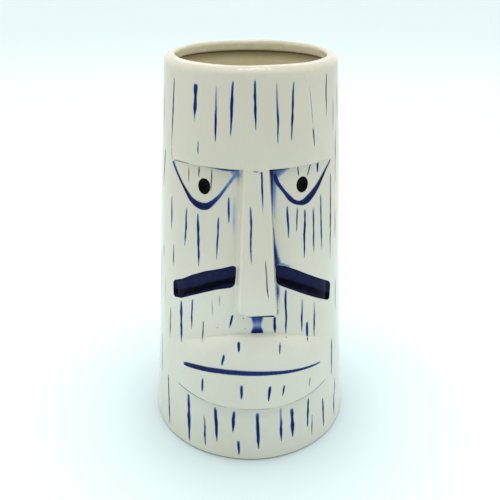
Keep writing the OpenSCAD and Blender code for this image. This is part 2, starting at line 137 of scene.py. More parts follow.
def shoulder(x, foot, top):
    """From 0 at foot to 1 at top, round like a quarter circle, with the round at the top."""
    t = np.clip((top - x) / (top - foot), 0, 1)
    return np.sqrt(np.clip(1 - t * t, 0, 1))


def turned(x, y, degrees):
    """x and y of a place after a turn round the origin, anticlockwise."""
    c = math.cos(math.radians(degrees))
    s = math.sin(math.radians(degrees))
    return x * c - y * s, x * s + y * c


def off_centre(radius, shift, angle):
    """Distance from the axis to a circle of that radius centred shift behind the axis."""
    reach = np.maximum(radius**2 - (shift * np.sin(angle)) ** 2, 0)
    return -shift * np.cos(angle) + np.sqrt(reach)


def even(t, values):
    """The value at share t of the way along evenly spaced values."""
    return np.interp(t, np.linspace(0, 1, len(values)), values)


def along(points, share):
    """Places at those shares of the way along a list of points, by their index."""
    return np.stack([even(share, column) for column in np.array(points).T], -1)


def smooth_line(points, step):
    """A line through [angle, z, ...] points, in even steps with its corners rounded."""
    points = np.array(points, float)
    x = np.radians(points[:, 0]) * MEAN_R
    run = np.concatenate([[0], np.cumsum(np.hypot(np.diff(x), np.diff(points[:, 1])))])
    count = max(4, int(round(run[-1] / step)) + 1)
    fine = np.linspace(0, run[-1], count)
    line = np.stack([np.interp(fine, run, column) for column in points.T], 1)
    for _ in range(3):
        line[1:-1] = (line[:-2] + 2 * line[1:-1] + line[2:]) / 4
    return line


# ---- The outer surface ----
def nose_r(angle, z):
    front_y = outer_r(z) + NOSE_OUT * (BROW_Z - z) / (BROW_Z - NOSE_Z)
    rise = (z - NOSE_Z) / (BROW_Z - NOSE_Z)
    half = NOSE_TIP_W + (NOSE_TOP_W - NOSE_TIP_W) * rise
    centre = (NOSE_TIP_X + (NOSE_TOP_X - NOSE_TIP_X) * rise) * np.sign(angle)
    cos = np.maximum(np.cos(angle), 0.3)
    flank = (half + centre + NOSE_FLARE * front_y) / (np.abs(np.sin(angle)) + NOSE_FLARE * cos)
    corner = np.where(angle < 0, NOSE_LEFT_ROUND, NOSE_RIGHT_ROUND)
    return np.where(np.cos(angle) > 0.5, soft_min(front_y / cos, flank, corner), 0)


def face_r(z):
    rise = (z - FACE_LOW_Z) / (BROW_Z - FACE_LOW_Z)
    return outer_r(z) + FACE_SHIFT - CHEEK_DEPTH - (BROW_DEPTH - CHEEK_DEPTH) * rise


def lip_top_z(angle):
    x = np.minimum(LIP_EDGE_R * np.abs(np.sin(angle)), 34)
    return LIP_TOP_Z - LIP_ARC_R + np.sqrt(LIP_ARC_R**2 - x**2)


def lip_low_z(angle):
    y = -LIP_LOW_R * np.maximum(np.cos(angle), 0.55)
    return LIP_LOW_Z + math.tan(LIP_LOW_TILT) * (y + LIP_LOW_R + 0.36)


def wobble(angle, z):
    """The slight unevenness of a casting that was trimmed and sponged by hand."""
    slow = 0.08 * np.sin(2 * angle + z / 23) + 0.05 * np.sin(5 * angle - z / 17 + 1.3)
    return slow + 0.03 * np.sin(9 * angle + z / 9 + 0.5)


def plain_r(angle_deg, z):
    """Distance of the wall, the flatter face or the lips from the axis, without the nose."""
    angle = np.radians(angle_deg)
    log = outer_r(z)
    face = soft_min(log, off_centre(face_r(z), FACE_SHIFT, angle), 0.5)
    face = np.where(z < LIP_LOW_Z + 4, log, face)

    lips = off_centre(log + LIP_OUT - LIP_SHIFT, -LIP_SHIFT, angle)
    slope = log + LIP_TOP_OUT - LIP_SHIFT + LIP_SLOPE * np.maximum(LIP_TOP_Z - z, -4)
    lips = soft_min(lips, off_centre(slope, -LIP_SHIFT, angle), 1.2)
    lips = np.where(np.cos(angle) > 0.3, lips, 0)
    round_top = 0.8 + 5.9 * ramp(np.abs(angle_deg), 9, 30)
    top = 1 - shoulder(-z, -lip_top_z(angle), -lip_top_z(angle) + round_top)
    low = shoulder(z, lip_low_z(angle) - 0.4, lip_low_z(angle) + 1.5)
    r = face + (soft_max(face, lips, 0.5) - face) * (1 - top) * low
    return r + (log - r) * shoulder(z, BROW_Z - 0.3, BROW_Z + 0.5)


def surface_r(angle_deg, z):
    """Distance of the outer surface from the axis, without its grooves and pockets."""
    angle = np.radians(angle_deg)
    r = plain_r(angle_deg, z)
    round_end = 0.6 + 3.2 * ramp(-np.asarray(angle_deg, float), 2, 10)
    ends = shoulder(z, NOSE_Z - 0.3, NOSE_Z + round_end) * (1 - ramp(z, BROW_Z, BROW_Z + 2.5))
    return r + (soft_max(r, nose_r(angle, z), 0.9) - r) * ends + wobble(angle, z)


def to_space(angle_deg, z, r):
    x = r * np.sin(np.radians(angle_deg))
    return np.stack([x, -r * np.cos(np.radians(angle_deg)), z + 0 * x], -1)


def on_face(angle_deg, z):
    """Angles of places drawn on the plain taper and carried straight back to the face.

    Only places close to the middle may lie on the nose.
    """
    angle_deg = np.asarray(angle_deg, float)
    z = np.asarray(z, float)
    x = outer_r(z) * np.sin(np.radians(angle_deg))
    angle = angle_deg
    for _ in range(5):
        r = np.where(np.abs(angle_deg) < 8.2, surface_r(angle, z), plain_r(angle, z))
        angle = np.degrees(np.arcsin(np.clip(x / r, -1, 1)))
    return np.where(np.abs(angle_deg) < 80, angle, angle_deg)


def moved(points):
    """The same list of [angle, z, ...] points with their angles carried onto the face."""
    points = np.array(points, float)
    points[:, 0] = on_face(points[:, 0], points[:, 1])
    return points.tolist()


def surface_point(angle_deg, z, lift=0.0, dip=None):
    """Points on the outer surface, lifted along its normal; dip gives a depth at angle, z."""
    def place(a, h):
        depth = 0 if dip is None else dip(a, h)
        return to_space(a, h, surface_r(a, h) - depth)

    angle_deg = np.asarray(angle_deg, float)
    z = np.asarray(z, float)
    across = place(angle_deg + 0.15, z) - place(angle_deg - 0.15, z)
    up = place(angle_deg, z + 0.1) - place(angle_deg, z - 0.1)
    normal = np.cross(across, up)
    normal /= np.linalg.norm(normal, axis=-1, keepdims=True)
    return place(angle_deg, z) + normal * lift


# ---- Places of the glaze, as [angle, height] or [angle, height, width] ----
PUPIL_W = 5.3
PUPIL_H = 5.6
# Each pupil's node, angle, height and tilt.
PUPILS = [("pupil_left", -30.5, 116.8, 13.0), ("pupil_right", 30.0, 117.2, -13.0)]

EYE_LEFT = moved([
    [-57.5, 123.4, 0.9], [-52, 119.2, 0.7], [-47.5, 116, 0.7], [-43, 113, 1], [-40, 111, 1.3],
    [-36, 109.7, 1.7], [-32, 109.1, 1.9], [-28, 109.5, 1.7], [-24, 111.6, 1.2],
    [-20.5, 113.9, 0.9], [-16, 117.8, 0.8], [-10.4, 122.6, 0.9]])
EYE_RIGHT = moved([
    [11.4, 122.2, 1.4], [14, 118.6, 1.1], [18, 115.4, 0.9], [21, 113, 1.3], [24, 111.3, 1.1],
    [27.5, 110.4, 1], [31, 110.4, 1.6], [34, 111.2, 2], [37.5, 112.8, 1.8], [41.5, 115, 1.5],
    [45, 117.4, 1.1], [50, 120.6, 0.7], [56, 123.6, 0.5]])
MOUTH = moved([
    [-44.1, 40.8, 0.8], [-41.2, 41.6, 1.3], [-33.6, 42.9, 1.5], [-20.3, 44.3, 1.5],
    [-9.7, 44.7, 1.5], [0, 44.6, 1.4], [9.7, 44.2, 1.2], [19.2, 43.4, 1], [27.6, 42.5, 0.8],
    [35.7, 41.5, 0.7], [43.2, 40.4, 0.5]])

# Lower and upper edge of each cheek bar, from the nose outwards.
BARS = {
    "cheek_bar_left": (
        moved([[-11, 79.1], [-21.5, 77.3], [-29.5, 75.2], [-38.5, 72.5], [-47, 69.6],
               [-54.6, 68.2]]),
        moved([[-10.1, 87.8], [-21.5, 85.3], [-29.5, 83.6], [-38.5, 80.8], [-46, 77.9],
               [-55.3, 75]])),
    "cheek_bar_right": (
        moved([[12.9, 79.9], [23, 76.4], [31.3, 73.4], [41, 70], [53.8, 65.5]]),
        moved([[12.3, 87.5], [19, 86.3], [26, 84.0], [39, 79.2], [55.4, 73.2]]))}
BAR_ROUND = 1.7  # radius of a bar's corners
BAR_DEPTH = 1.0
BAR_STEPS = (40, 10, 6)  # points along a bar, up its end and round a corner

PHILTRUM_X = 1.3
PHILTRUM = [[59.8, 2.2], [60.8, 2], [62.4, 1.5], [65, 1.9], [67.5, 2.5], [69, 2.7]]  # z, half width


# ---- Grooves, pits and pockets of the body ----
def to_segment(x, z, x0, z0, x1, z1):
    """Distance from each place to a straight piece of line, and its share of the way along."""
    length2 = (x1 - x0) ** 2 + (z1 - z0) ** 2
    t = np.clip(((x - x0) * (x1 - x0) + (z - z0) * (z1 - z0)) / length2, 0, 1)
    return np.hypot(x - x0 - t * (x1 - x0), z - z0 - t * (z1 - z0)), t


def line_distance(line, angle_deg, z):
    """Distance from each place to a line, and the line's width there, in mm."""
    x = np.radians(angle_deg) * MEAN_R
    best = np.full(np.shape(x), 1e9)
    width = np.zeros(np.shape(x))
    flat = [(math.radians(p[0]) * MEAN_R, p[1], p[2]) for p in line]
    for (x0, z0, w0), (x1, z1, w1) in zip(flat[:-1], flat[1:]):
        d, t = to_segment(x, z, x0, z0, x1, z1)
        width = np.where(d < best, w0 + t * (w1 - w0), width)
        best = np.minimum(best, d)
    return best, width


GROOVE_DEPTH = 0.3
PIT_DEPTH = 1.5


def line_dip(angle_deg, z):
    """Depth of the grooves of the mouth and the eye lines, which run out level at the nose."""
    depth = np.zeros(np.shape(angle_deg))
    for line in (EYE_LEFT, EYE_RIGHT, MOUTH):
        d, width = line_distance(line, angle_deg, z)
        t = np.clip(d / (width / 2 + 0.35), 0, 1)
        depth = np.maximum(depth, GROOVE_DEPTH * np.minimum(width, 1) * (1 - t * t) ** 2)
    inner_end = (np.abs(angle_deg) < 18) & (z > 100)
    return np.where(inner_end, depth * (1 - ramp(z, 117.5, 120)), depth)


def rounded_ring(half_x, half_y, inset):
    """A rounded rectangle, inset by so much, with the same number of points at any inset."""
    hx = half_x - inset
    hy = max(half_y - inset, 0.05)
    r = min(max(BAR_ROUND - inset, 0.25), hy * 0.98)
    along_steps, end_steps, corner_steps = BAR_STEPS
    corners = np.array([(hx - r, hy - r), (r - hx, hy - r), (r - hx, r - hy), (hx - r, r - hy)])
    points = []
    for k in range(4):
        turns = np.radians(90 * k + 90 * np.arange(corner_steps + 1) / corner_steps)
        arc = corners[k] + r * np.stack([np.cos(turns), np.sin(turns)], 1)
        goal = corners[(k + 1) % 4] + r * np.array([np.cos(turns[-1]), np.sin(turns[-1])])
        steps = end_steps if k % 2 else along_steps
        shares = np.arange(1, steps)[:, None] / steps
        points += [arc, arc[-1] + (goal - arc[-1]) * shares]
    return np.concatenate(points)


def bar_half_height(low, top):
    return float(np.mean(np.array(top)[:, 1] - np.array(low)[:, 1])) / 2 * 0.93


def bar_ring(low, top, inset):
    """A bar's outline inset by so much, and how far each of its points is above the middle."""
    run = (np.array(low[-1]) + top[-1] - low[0] - top[0]) / 2
    half_x = math.hypot(math.radians(run[0]) * MEAN_R, run[1]) / 2
    half_y = bar_half_height(low, top)
    x, y = rounded_ring(half_x, half_y, inset).T
    share = (x + half_x) / (2 * half_x)
    rise = (y + half_y) / (2 * half_y)
    return along(low, share) + (along(top, share) - along(low, share)) * rise[:, None], y


def bar_inset(angle_deg, z):
    """How far each place is inside a cheek bar, in mm, negative outside it."""
    x = np.radians(angle_deg) * MEAN_R
    deepest = np.full(np.shape(x), -1e9)
    for low, top in BARS.values():
        ring = bar_ring(low, top, 0)[0]
        ring[:, 0] = np.radians(ring[:, 0]) * MEAN_R
        best = np.full(np.shape(x), 1e9)
        inside = np.zeros(np.shape(x), bool)
        for (x0, z0), (x1, z1) in zip(np.roll(ring, 1, 0), ring):
            best = np.minimum(best, to_segment(x, z, x0, z0, x1, z1)[0])
            if z0 != z1:
                crosses = (z0 > z) != (z1 > z)
                inside ^= crosses & (x < x0 + (z - z0) * (x1 - x0) / (z1 - z0))
        deepest = np.maximum(deepest, np.where(inside, best, -best))
    return deepest


def body_dip(angle_deg, z):
    """Depth of everything cut into the body. Pits and pockets go deeper than their glaze."""
    depth = line_dip(angle_deg, z)
    for _, place, height, tilt in PUPILS:
        x = np.radians(angle_deg - on_face(place, height)) * MEAN_R
        x, y = turned(x, z - height, -tilt)
        reach = np.hypot(x / (PUPIL_W / 2), y / (PUPIL_H / 2))
        depth = np.maximum(depth, PIT_DEPTH * (1 - ramp(reach, 0.78, 0.98)))
    near = (np.abs(angle_deg) < 60) & (z > 60) & (z < 95)
    pocket = (BAR_DEPTH + 0.5) * ramp(bar_inset(angle_deg[near], z[near]), -0.04, 0.12)
    depth[near] = np.maximum(depth[near], pocket)
    return depth


# ---- Making meshes ----
def put_in_scene(name, data):
    thing = bpy.data.objects.new(name, data)
    bpy.context.scene.collection.objects.link(thing)
    return thing


def add_piece(name, slot, node, material, points, faces, inks=None):
    """A smooth piece in the place of a CAD node, from points in mm.

    inks holds how much ink there is at each point, and how far it has turned grey.
    """
    mesh = bpy.data.meshes.new(name)
    mesh.from_pydata((np.asarray(points) * MM).tolist(), [], faces)
    mesh.validate()
    mesh.polygons.foreach_set("use_smooth", [True] * len(mesh.polygons))
    if inks is not None:
        colours = np.pad(np.asarray(inks, np.float32), ((0, 0), (0, 2)))
        colours[:, 3] = 1
        attribute = mesh.color_attributes.new("ink", "FLOAT_COLOR", "POINT")
        attribute.data.foreach_set("color", colours.ravel())
    mesh.materials.append(material)
    mesh.update()
    piece = put_in_scene(name, mesh)
    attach(piece, "root")
    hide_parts(node)
    return piece


def grid_faces(rows, columns, closed):
    """Quads of a grid of points; closed joins the last column to the first one."""
    faces = []
    for i in range(rows - 1):
        for j in range(columns if closed else columns - 1):
            low = i * columns
            high = low + columns
            k = (j + 1) % columns
            faces.append((low + j, low + k, high + k, high + j))
    return faces


def sheet(points, inks):
    """Points, faces and inks of lines of points that lie side by side."""
    faces = grid_faces(len(points[0]), len(points), False)
    return np.stack(points, 1).reshape(-1, 3), faces, np.stack(inks, 1).reshape(-1, 2)


def flipped(faces):
    return [tuple(reversed(face)) for face in faces]


def vessel(rings, end, start=None):
    """Points and faces of a stack of rings whose last one is closed with a point at end, and
    whose first one is closed with a point at start if that is given."""
    count = len(rings[0])
    faces = grid_faces(len(rings), count, True)
    last = (len(rings) - 1) * count
    points = rings + [[end]]
    faces += [(last + count, last + j, last + (j + 1) % count) for j in range(count)]
    if start is not None:
        points.append([start])
        faces += [(last + count + 1, (j + 1) % count, j) for j in range(count)]
    return np.concatenate(points), faces


# ---- Materials, with colours given as 0 to 255 on screen ----
def linear(colour):
    """A colour as Blender's linear numbers."""
    shares = [c / 255 for c in colour]
    return [c / 12.92 if c <= 0.04045 else ((c + 0.055) / 1.055) ** 2.4 for c in shares] + [1.0]


class Nodes:
    """Short ways to add nodes to the tree of a material or a world."""

    def __init__(self, owner):
        owner.use_nodes = True
        self.owner = owner
        self.tree = owner.node_tree
        self.shader = self.tree.nodes.get("Principled BSDF")
        self.coordinates = self.add("ShaderNodeTexCoord").outputs
        self.place = self.coordinates["Object"]

    def fill(self, node, inputs):
        """Give a node's inputs their values. A tuple is a colour, and an output is linked."""
        for key, value in inputs.items():
            if isinstance(value, bpy.types.NodeSocket):
                self.tree.links.new(value, node.inputs[key])
            elif isinstance(value, tuple):
                node.inputs[key].default_value = linear(value)
            else:
                node.inputs[key].default_value = value

    def add(self, kind, inputs=None, **settings):
        node = self.tree.nodes.new(kind)
        for key, value in settings.items():
            setattr(node, key, value)
        self.fill(node, inputs or {})
        return node

    def noise(self, scale, detail=2.0, roughness=0.5, stretch=None):
        place = self.place
        if stretch:
            mapping = self.add("ShaderNodeMapping", {"Vector": place, "Scale": stretch})
            place = mapping.outputs["Vector"]
        return self.add("ShaderNodeTexNoise", {"Vector": place, "Scale": scale, "Detail": detail,
                                               "Roughness": roughness}).outputs["Fac"]

    def math(self, operation, a, b=0.5, clamp=False):
        node = self.add("ShaderNodeMath", {0: a, 1: b}, operation=operation, use_clamp=clamp)
        return node.outputs["Value"]

    def about(self, scale, detail, size):
        """Noise about 0, times size."""
        return self.math("MULTIPLY", self.math("SUBTRACT", self.noise(scale, detail), 0.5), size)

    def ramp(self, source, *stops):
        node = self.add("ShaderNodeValToRGB", {"Fac": source})
        elements = node.color_ramp.elements
        while len(elements) < len(stops):
            elements.new(0.5)
        for element, (position, colour) in zip(elements, stops):
            element.position = position
            element.color = linear(colour)
        return node.outputs["Color"]

    def mix(self, factor, a, b):
        node = self.add("ShaderNodeMix", {"Factor": factor, 6: a, 7: b}, data_type="RGBA")
        return node.outputs[2]

    def range(self, source, low, high, start=0.0, end=1.0):
        """From low to high as the source goes from start to end."""
        return self.add("ShaderNodeMapRange", {
            "Value": source, "From Min": start, "From Max": end, "To Min": low, "To Max": high,
        }).outputs["Result"]

    def height_range(self, z0, z1, low, high):
        """From low to high between two heights of the piece, in metres."""
        axes = self.add("ShaderNodeSeparateXYZ", {"Vector": self.place}).outputs
        return self.range(axes["Z"], low, high, z0, z1)

    def away_range(self, r0, r1, low, high):
        """From low to high between two distances from the mug's axis, in metres."""
        axes = self.add("ShaderNodeSeparateXYZ", {"Vector": self.place}).outputs
        squares = [self.math("POWER", axes[name], 2.0) for name in ("X", "Y")]
        return self.range(self.math("SQRT", self.math("ADD", *squares)), low, high, r0, r1)

    def ink(self):
        """The piece's ink: Red is how much there is, and Green how far it has turned grey."""
        ink = self.add("ShaderNodeAttribute", attribute_name="ink").outputs["Color"]
        return self.add("ShaderNodeSeparateColor", {"Color": ink}).outputs

    def shade(self, **inputs):
        """Fill the shader's inputs, whose names are written with _ for a space here."""
        self.fill(self.shader, {key.replace("_", " "): value for key, value in inputs.items()})

    def bump(self, source, distance, strength):
        node = self.add("ShaderNodeBump",
                        {"Height": source, "Distance": distance, "Strength": strength})
        self.shade(Normal=node.outputs["Normal"])


def material_nodes(name):
    return Nodes(bpy.data.materials.new(name))


CREAM_WARM = (196, 191, 173)
CREAM_COOL = (201, 199, 185)
# Painted bounce light: the cream low down is lighter and cooler, as if lit from the pale floor.
CREAM_FLOOR_BOUNCE_WARM = (202, 203, 188)
CREAM_FLOOR_BOUNCE_COOL = (207, 210, 199)
CREAM_SHADE = (172, 168, 150)
# Partly painted light: warm colour for the band inside the rim, standing in for light bounced
# inside the mug.
CREAM_INSIDE_BOUNCE = (204, 200, 174)
SPECK = (110, 70, 40)
BLUE_STOPS = [(0.0, (176, 188, 198)), (0.3, (124, 150, 188)), (0.55, (56, 86, 146)),
              (0.8, (24, 44, 98)), (1.0, (10, 20, 66))]
GREY_STOPS = [(0.0, (190, 186, 178)), (0.3, (150, 148, 148)), (0.6, (92, 90, 102)),
              (1.0, (28, 26, 42))]


def cream_colour(n):
    """The cream glaze: lighter and cooler low down, a painted bounce light from the floor, faint
    broad clouds, a fine mottle and brown specks.
    """
    clouds = n.noise(28, 3)
    upper = n.ramp(clouds, (0.3, CREAM_WARM), (0.7, CREAM_COOL))
    # Painted bounce light from the floor: the lower cream is lighter and cooler.
    lower = n.ramp(clouds, (0.3, CREAM_FLOOR_BOUNCE_WARM), (0.7, CREAM_FLOOR_BOUNCE_COOL))
    colour = n.mix(n.height_range(0.118, 0.07, 0.0, 1.0), upper, lower)
    colour = n.mix(n.range(n.noise(420, 4, 0.6), 0.0, 0.12), colour, CREAM_SHADE)
    cells = n.add("ShaderNodeTexVoronoi", {"Vector": n.place, "Scale": 95}).outputs
    dot = n.math("LESS_THAN", cells["Distance"], 0.035)
    chance = n.add("ShaderNodeSeparateColor", {"Color": cells["Color"]}).outputs["Red"]
    rare = n.math("GREATER_THAN", chance, 0.86)
    return n.mix(n.math("MULTIPLY", n.math("MULTIPLY", dot, rare), 0.7), colour, SPECK)


def glaze_skin(n, roughness=(0.1, 0.2), shine=0.28, rim_dimples=0.0):
    """The glaze's gloss and slight ripple, which may be dimpled at the rim."""
    n.shade(Specular_IOR_Level=shine, IOR=1.52, Roughness=n.range(n.noise(180, 3), *roughness))
    ripple = n.math("ADD", n.noise(95, 2), n.math("MULTIPLY", n.noise(700, 2), 0.12))
    if rim_dimples:
        rim = n.height_range(0.1515, 0.1565, 0.0, rim_dimples)
        ripple = n.math("ADD", ripple, n.about(330, 1, rim))
    n.bump(ripple, 0.0004, 0.35)


def cream_material():
    """Cream outside, and warmer on the band inside the rim, where the inner glaze laps over it and
    painted bounce light from inside the mug is added.
    """
    n = material_nodes("cream_glaze")
    # Partly painted bounce light: the band inside the rim is tinted warm.
    inside = n.away_range((CREST_R - 0.3) * MM, (CREST_R - 1.0) * MM, 0.0, 1.0)
    n.shade(Base_Color=n.mix(inside, cream_colour(n), CREAM_INSIDE_BOUNCE))
    glaze_skin(n, rim_dimples=2.4)
    return n.owner


def ink_material(name, uneven):
    """Brushed blue over the cream, which may have burnt out to grey."""
    n = material_nodes(name)
    ink = n.ink()
    streaks = n.noise(900, 3, 0.6, [1, 1, 0.3])
    shift = n.math("MULTIPLY", n.math("SUBTRACT", streaks, 0.5), uneven)
    amount = n.math("MULTIPLY", ink["Red"], n.math("ADD", shift, 1.0), clamp=True)
    colour = n.mix(ink["Green"], n.ramp(amount, *BLUE_STOPS), n.ramp(amount, *GREY_STOPS))
    cover = n.math("MULTIPLY", amount, 4.0, clamp=True)
    n.shade(Base_Color=n.mix(cover, cream_colour(n), colour))
    glaze_skin(n, shine=0.08)
    return n.owner


def pool_material(name, thin, middle, deep, shine):
    """Thick dark glaze, a little bluer where it holds less ink: where it is thin, and in the
    painted sheen of the bars.
    """
    n = material_nodes(name)
    ink = n.ink()["Red"]
    amount = n.math("ADD", ink, n.about(260, 3, 0.34), clamp=True)
    colour = n.ramp(amount, (0.0, (150, 160, 186)), (0.3, (56, 70, 130)), (0.55, thin),
                    (0.75, middle), (0.95, deep))
    cover = n.math("MULTIPLY", ink, 5.0, clamp=True)
    n.shade(Base_Color=n.mix(cover, cream_colour(n), colour), Specular_IOR_Level=shine,
            Roughness=n.range(n.noise(300, 2), 0.05, 0.12))
    n.bump(n.noise(350, 2), 0.0003, 0.25)
    return n.owner


def liner_material():
    """The warm glaze inside, with a painted shadow that turns it dark brown just under the rim's
    band.
    """
    n = material_nodes("inner_glaze")
    colour = n.ramp(n.noise(40, 4), (0.3, (222, 213, 178)), (0.7, (230, 223, 190)))
    colour = n.mix(n.range(n.noise(500, 3), 0.0, 0.15), colour, (160, 140, 100))
    # Painted shadow: dark brown just under the band inside the rim, fading downwards.
    n.shade(Base_Color=n.mix(n.height_range(0.1525, 0.1562, 0.0, 0.9), colour, (92, 76, 36)))
    glaze_skin(n, (0.12, 0.24))
    return n.owner


def clay_material():
    """Bare clay, with a painted contact shadow darkening its outer edge where it meets the table.
    """
    n = material_nodes("bare_clay")
    grain = n.noise(1400, 5, 0.7)
    colour = n.ramp(grain, (0.3, (196, 184, 160)), (0.7, (222, 214, 194)))
    colour = n.mix(n.range(n.noise(90, 2), 0.0, 0.3), colour, (178, 160, 130))
    # Painted contact shadow: the outermost clay goes dark where the ring meets the table.
    contact_shade = n.away_range(RING_R * MM - 0.0012, RING_R * MM - 0.0004, 0.0, 0.9)
    n.shade(Base_Color=n.mix(contact_shade, colour, (58, 52, 44)), Roughness=n.range(grain, 0.75, 0.95))
    n.bump(grain, 0.0003, 0.6)
    return n.owner


# ---- The body ----
def growing_steps(first, middle, length):
    """Steps that grow from first to middle, over less than half the length."""
    steps = []
    while first < middle and sum(steps) < length * 0.45:
        steps.append(first)
        first *= 1.3
    return steps


def graded(length, start, middle, end):
    """Shares from 0 to 1 of steps that grow from start to middle, then shrink to end."""
    head = growing_steps(start, middle, length)
    tail = growing_steps(end, middle, length)
    rest = max(length - sum(head) - sum(tail), middle)
    count = max(1, int(round(rest / middle)))
    marks = np.concatenate([[0], np.cumsum(head + [rest / count] * count + tail[::-1])])
    return marks / marks[-1]


def column_angles():
    """Angles of the body's columns, close together where the face has its edges."""
    side = [0.0]
    bands = [(6, 0.75), (8.4, 0.35), (14.5, 0.36), (50, 0.8), (56, 0.42), (64, 0.8), (80, 1.4),
             (180, 2.9)]  # the end of each band, and its step
    for end, step in bands:
        count = int(round((end - side[-1]) / step))
        side += list(np.linspace(side[-1], end, count + 1)[1:])
    return np.array([-a for a in side[:0:-1]] + side[:-1])


def bar_edge(index, angles):
    """Height of the bars' lower or upper edge at each angle, held level beyond their ends."""
    points = sorted(point for bar in BARS.values() for point in bar[index])
    return np.interp(angles, [p[0] for p in points], [p[1] for p in points])


def body_rows(angles):
    """Heights of the body's rows at each angle. Rows follow the edges of the face."""
    flat = np.ones(len(angles))
    anchors = [RING_H + 0.9 * flat, lip_low_z(np.radians(angles)),
               44.7 - 0.0024 * np.minimum(np.abs(angles), 50) ** 2, lip_top_z(np.radians(angles)),
               NOSE_Z - 6.5 * ramp(np.abs(angles), 15, 45), bar_edge(0, angles),
               bar_edge(1, angles), BROW_Z * flat, (RIM_Z - 2) * flat]
    # The first, largest and last step between each two anchors.
    steps = [(1.6, 1.6, 0.14), (0.14, 0.9, 0.3), (0.3, 0.8, 0.12), (0.12, 0.9, 0.14),
             (0.14, 0.8, 0.1), (0.1, 0.9, 0.1), (0.1, 0.62, 0.12), (0.12, 1.4, 1.0)]
    rows = []
    for low, high, sizes in zip(anchors[:-1], anchors[1:], steps):
        shares = graded(float(np.median(high - low)), *sizes)
        rows += [low + (high - low) * share for share in shares[:-1]]
    return rows + [anchors[-1]]


def cavity_r(angle_deg, z, inset=0.0):
    """Inner wall: a plain taper, kept clear of the flatter face."""
    angle = np.radians(angle_deg)
    plain = inner_r(z) + 0 * angle
    held = soft_min(plain, off_centre(face_r(z) - FACE_WALL, FACE_SHIFT, angle), 1.0)
    low = FLOOR_Z + CAVITY_ROUND
    reach = ramp(z, low, low + 9) * (1 - ramp(z, BROW_Z, BROW_Z + 5))
    return plain + (held - plain) * reach - inset


def quarter(steps):
    """Sine and cosine at so many even steps from 0 to 90 degrees, without the first."""
    turns = [math.pi / 2 * k / steps for k in range(1, steps + 1)]
    return [(math.sin(a), math.cos(a)) for a in turns]


def make_body(material):
    angles = column_angles()
    turn = np.radians(angles)
    rings = []

    def ring(z, r):
        rings.append(to_space(angles, z, r))

    # The underside, out to its rounded lower edge, then the outer surface.
    low_r = outer_r(RING_H) - FOOT_EDGE
    for r in (RING_R - RING_W - 14, RING_R - RING_W, RING_R - 0.8):
        ring(RING_H, r)
    ring(RING_H, low_r + wobble(turn, RING_H))
    for sin, cos in quarter(4):
        z = RING_H + FOOT_EDGE * (1 - cos)
        ring(z, low_r + FOOT_EDGE * sin + wobble(turn, z))
    for z in body_rows(angles):
        ring(z, surface_r(angles, z) - body_dip(angles, z))

    # The round rim, which isn't quite level, then the band inside it.
    top_wobble = wobble(turn, RIM_Z)
    rise = -0.6 * np.cos(turn) + 0.1 * np.sin(3 * turn + 0.6) + 0.06 * np.sin(7 * turn)
    ring(RIM_Z - 1, outer_r(RIM_Z - 1) + top_wobble)
    for a in np.radians(np.arange(0, 181, 9)):
        size = RIM_OUTER_ROUND if a < math.pi / 2 else RIM_INNER_ROUND
        ring(HEIGHT - size + (size + rise) * math.sin(a),
             CREST_R + (size + top_wobble) * math.cos(a))
    for z, more in ((BAND_Z + 0.35, 0), (BAND_Z, 0.06), (BAND_Z - 0.15, 0.25)):
        ring(z, MOUTH_R - top_wobble + more)

    # The inner wall and the floor.
    wall_low = FLOOR_Z + CAVITY_ROUND
    for z in np.linspace(BAND_Z - BAND_STEP, wall_low, 9):
        ring(z, cavity_r(angles, z))
    for sin, cos in quarter(4):
        ring(wall_low - CAVITY_ROUND * sin, cavity_r(angles, wall_low) - CAVITY_ROUND * (1 - cos))
    ring(FLOOR_Z, 12.0)
    points, faces = vessel(rings, [0, 0, FLOOR_Z], [0, 0, RING_H])
    add_piece("cast_body_shell", "cream_glaze", "cast_body", material, points, faces)


def make_liner(material):
    """The glaze inside, from just under the rim's band down over the floor."""
    angles = np.linspace(-180, 180, 97)[:-1]
    low = FLOOR_Z + CAVITY_ROUND
    top = BAND_Z - BAND_STEP + 0.1
    rings = []
    for z in [top] + list(np.linspace(top - 1.5, low, 50)):
        r = cavity_r(angles, z, LINER_T) + 0.5 * wobble(np.radians(angles), z)
        rings.append(to_space(angles, z, r))
    for sin, cos in quarter(8):
        z = low + LINER_T - CAVITY_ROUND * sin
        rings.append(to_space(angles, z, r - CAVITY_ROUND * (1 - cos)))
    for share in (0.75, 0.5, 0.25):
        rings.append(to_space(angles, FLOOR_Z + LINER_T, (r - CAVITY_ROUND) * share))
    points, faces = vessel(rings, [0, 0, FLOOR_Z + LINER_T])
    piece = add_piece("liner_glaze_skin", "inner_glaze", "liner_glaze", material, points, faces)
    thicken = piece.modifiers.new("thickness", "SOLIDIFY")
    thicken.thickness = LINER_T * 0.9 * MM
    thicken.offset = -1


def make_foot(material):
    """The unglazed ring that the mug stands on, wiped clean of glaze with a soft edge."""
    angles = np.linspace(-180, 180, 145)[:-1]
    turn = np.radians(angles)
    ragged = 0.06 * np.sin(11 * turn) + 0.05 * np.sin(23 * turn + 1)
    outer = RING_R + ragged * 0.5
    inner = RING_R - RING_W + ragged
    profile = [(0, RING_H + 0.02), (0, 0.3), (0.1, 0.08), (0.35, 0.0), (RING_W / 2, 0.0),
               (RING_W - 0.4, 0.0), (RING_W - 0.1, 0.1), (RING_W, 0.3), (RING_W, RING_H + 0.02)]
    points = np.concatenate([to_space(angles, z, outer + (inner - outer) * inset / RING_W)
                             for inset, z in profile])
    faces = grid_faces(len(profile) + 1, len(angles), True)
    faces = [tuple(i % len(points) for i in face) for face in faces]
    add_piece("foot_ring_clay", "bare_clay", "foot_ring", material, points, faces)


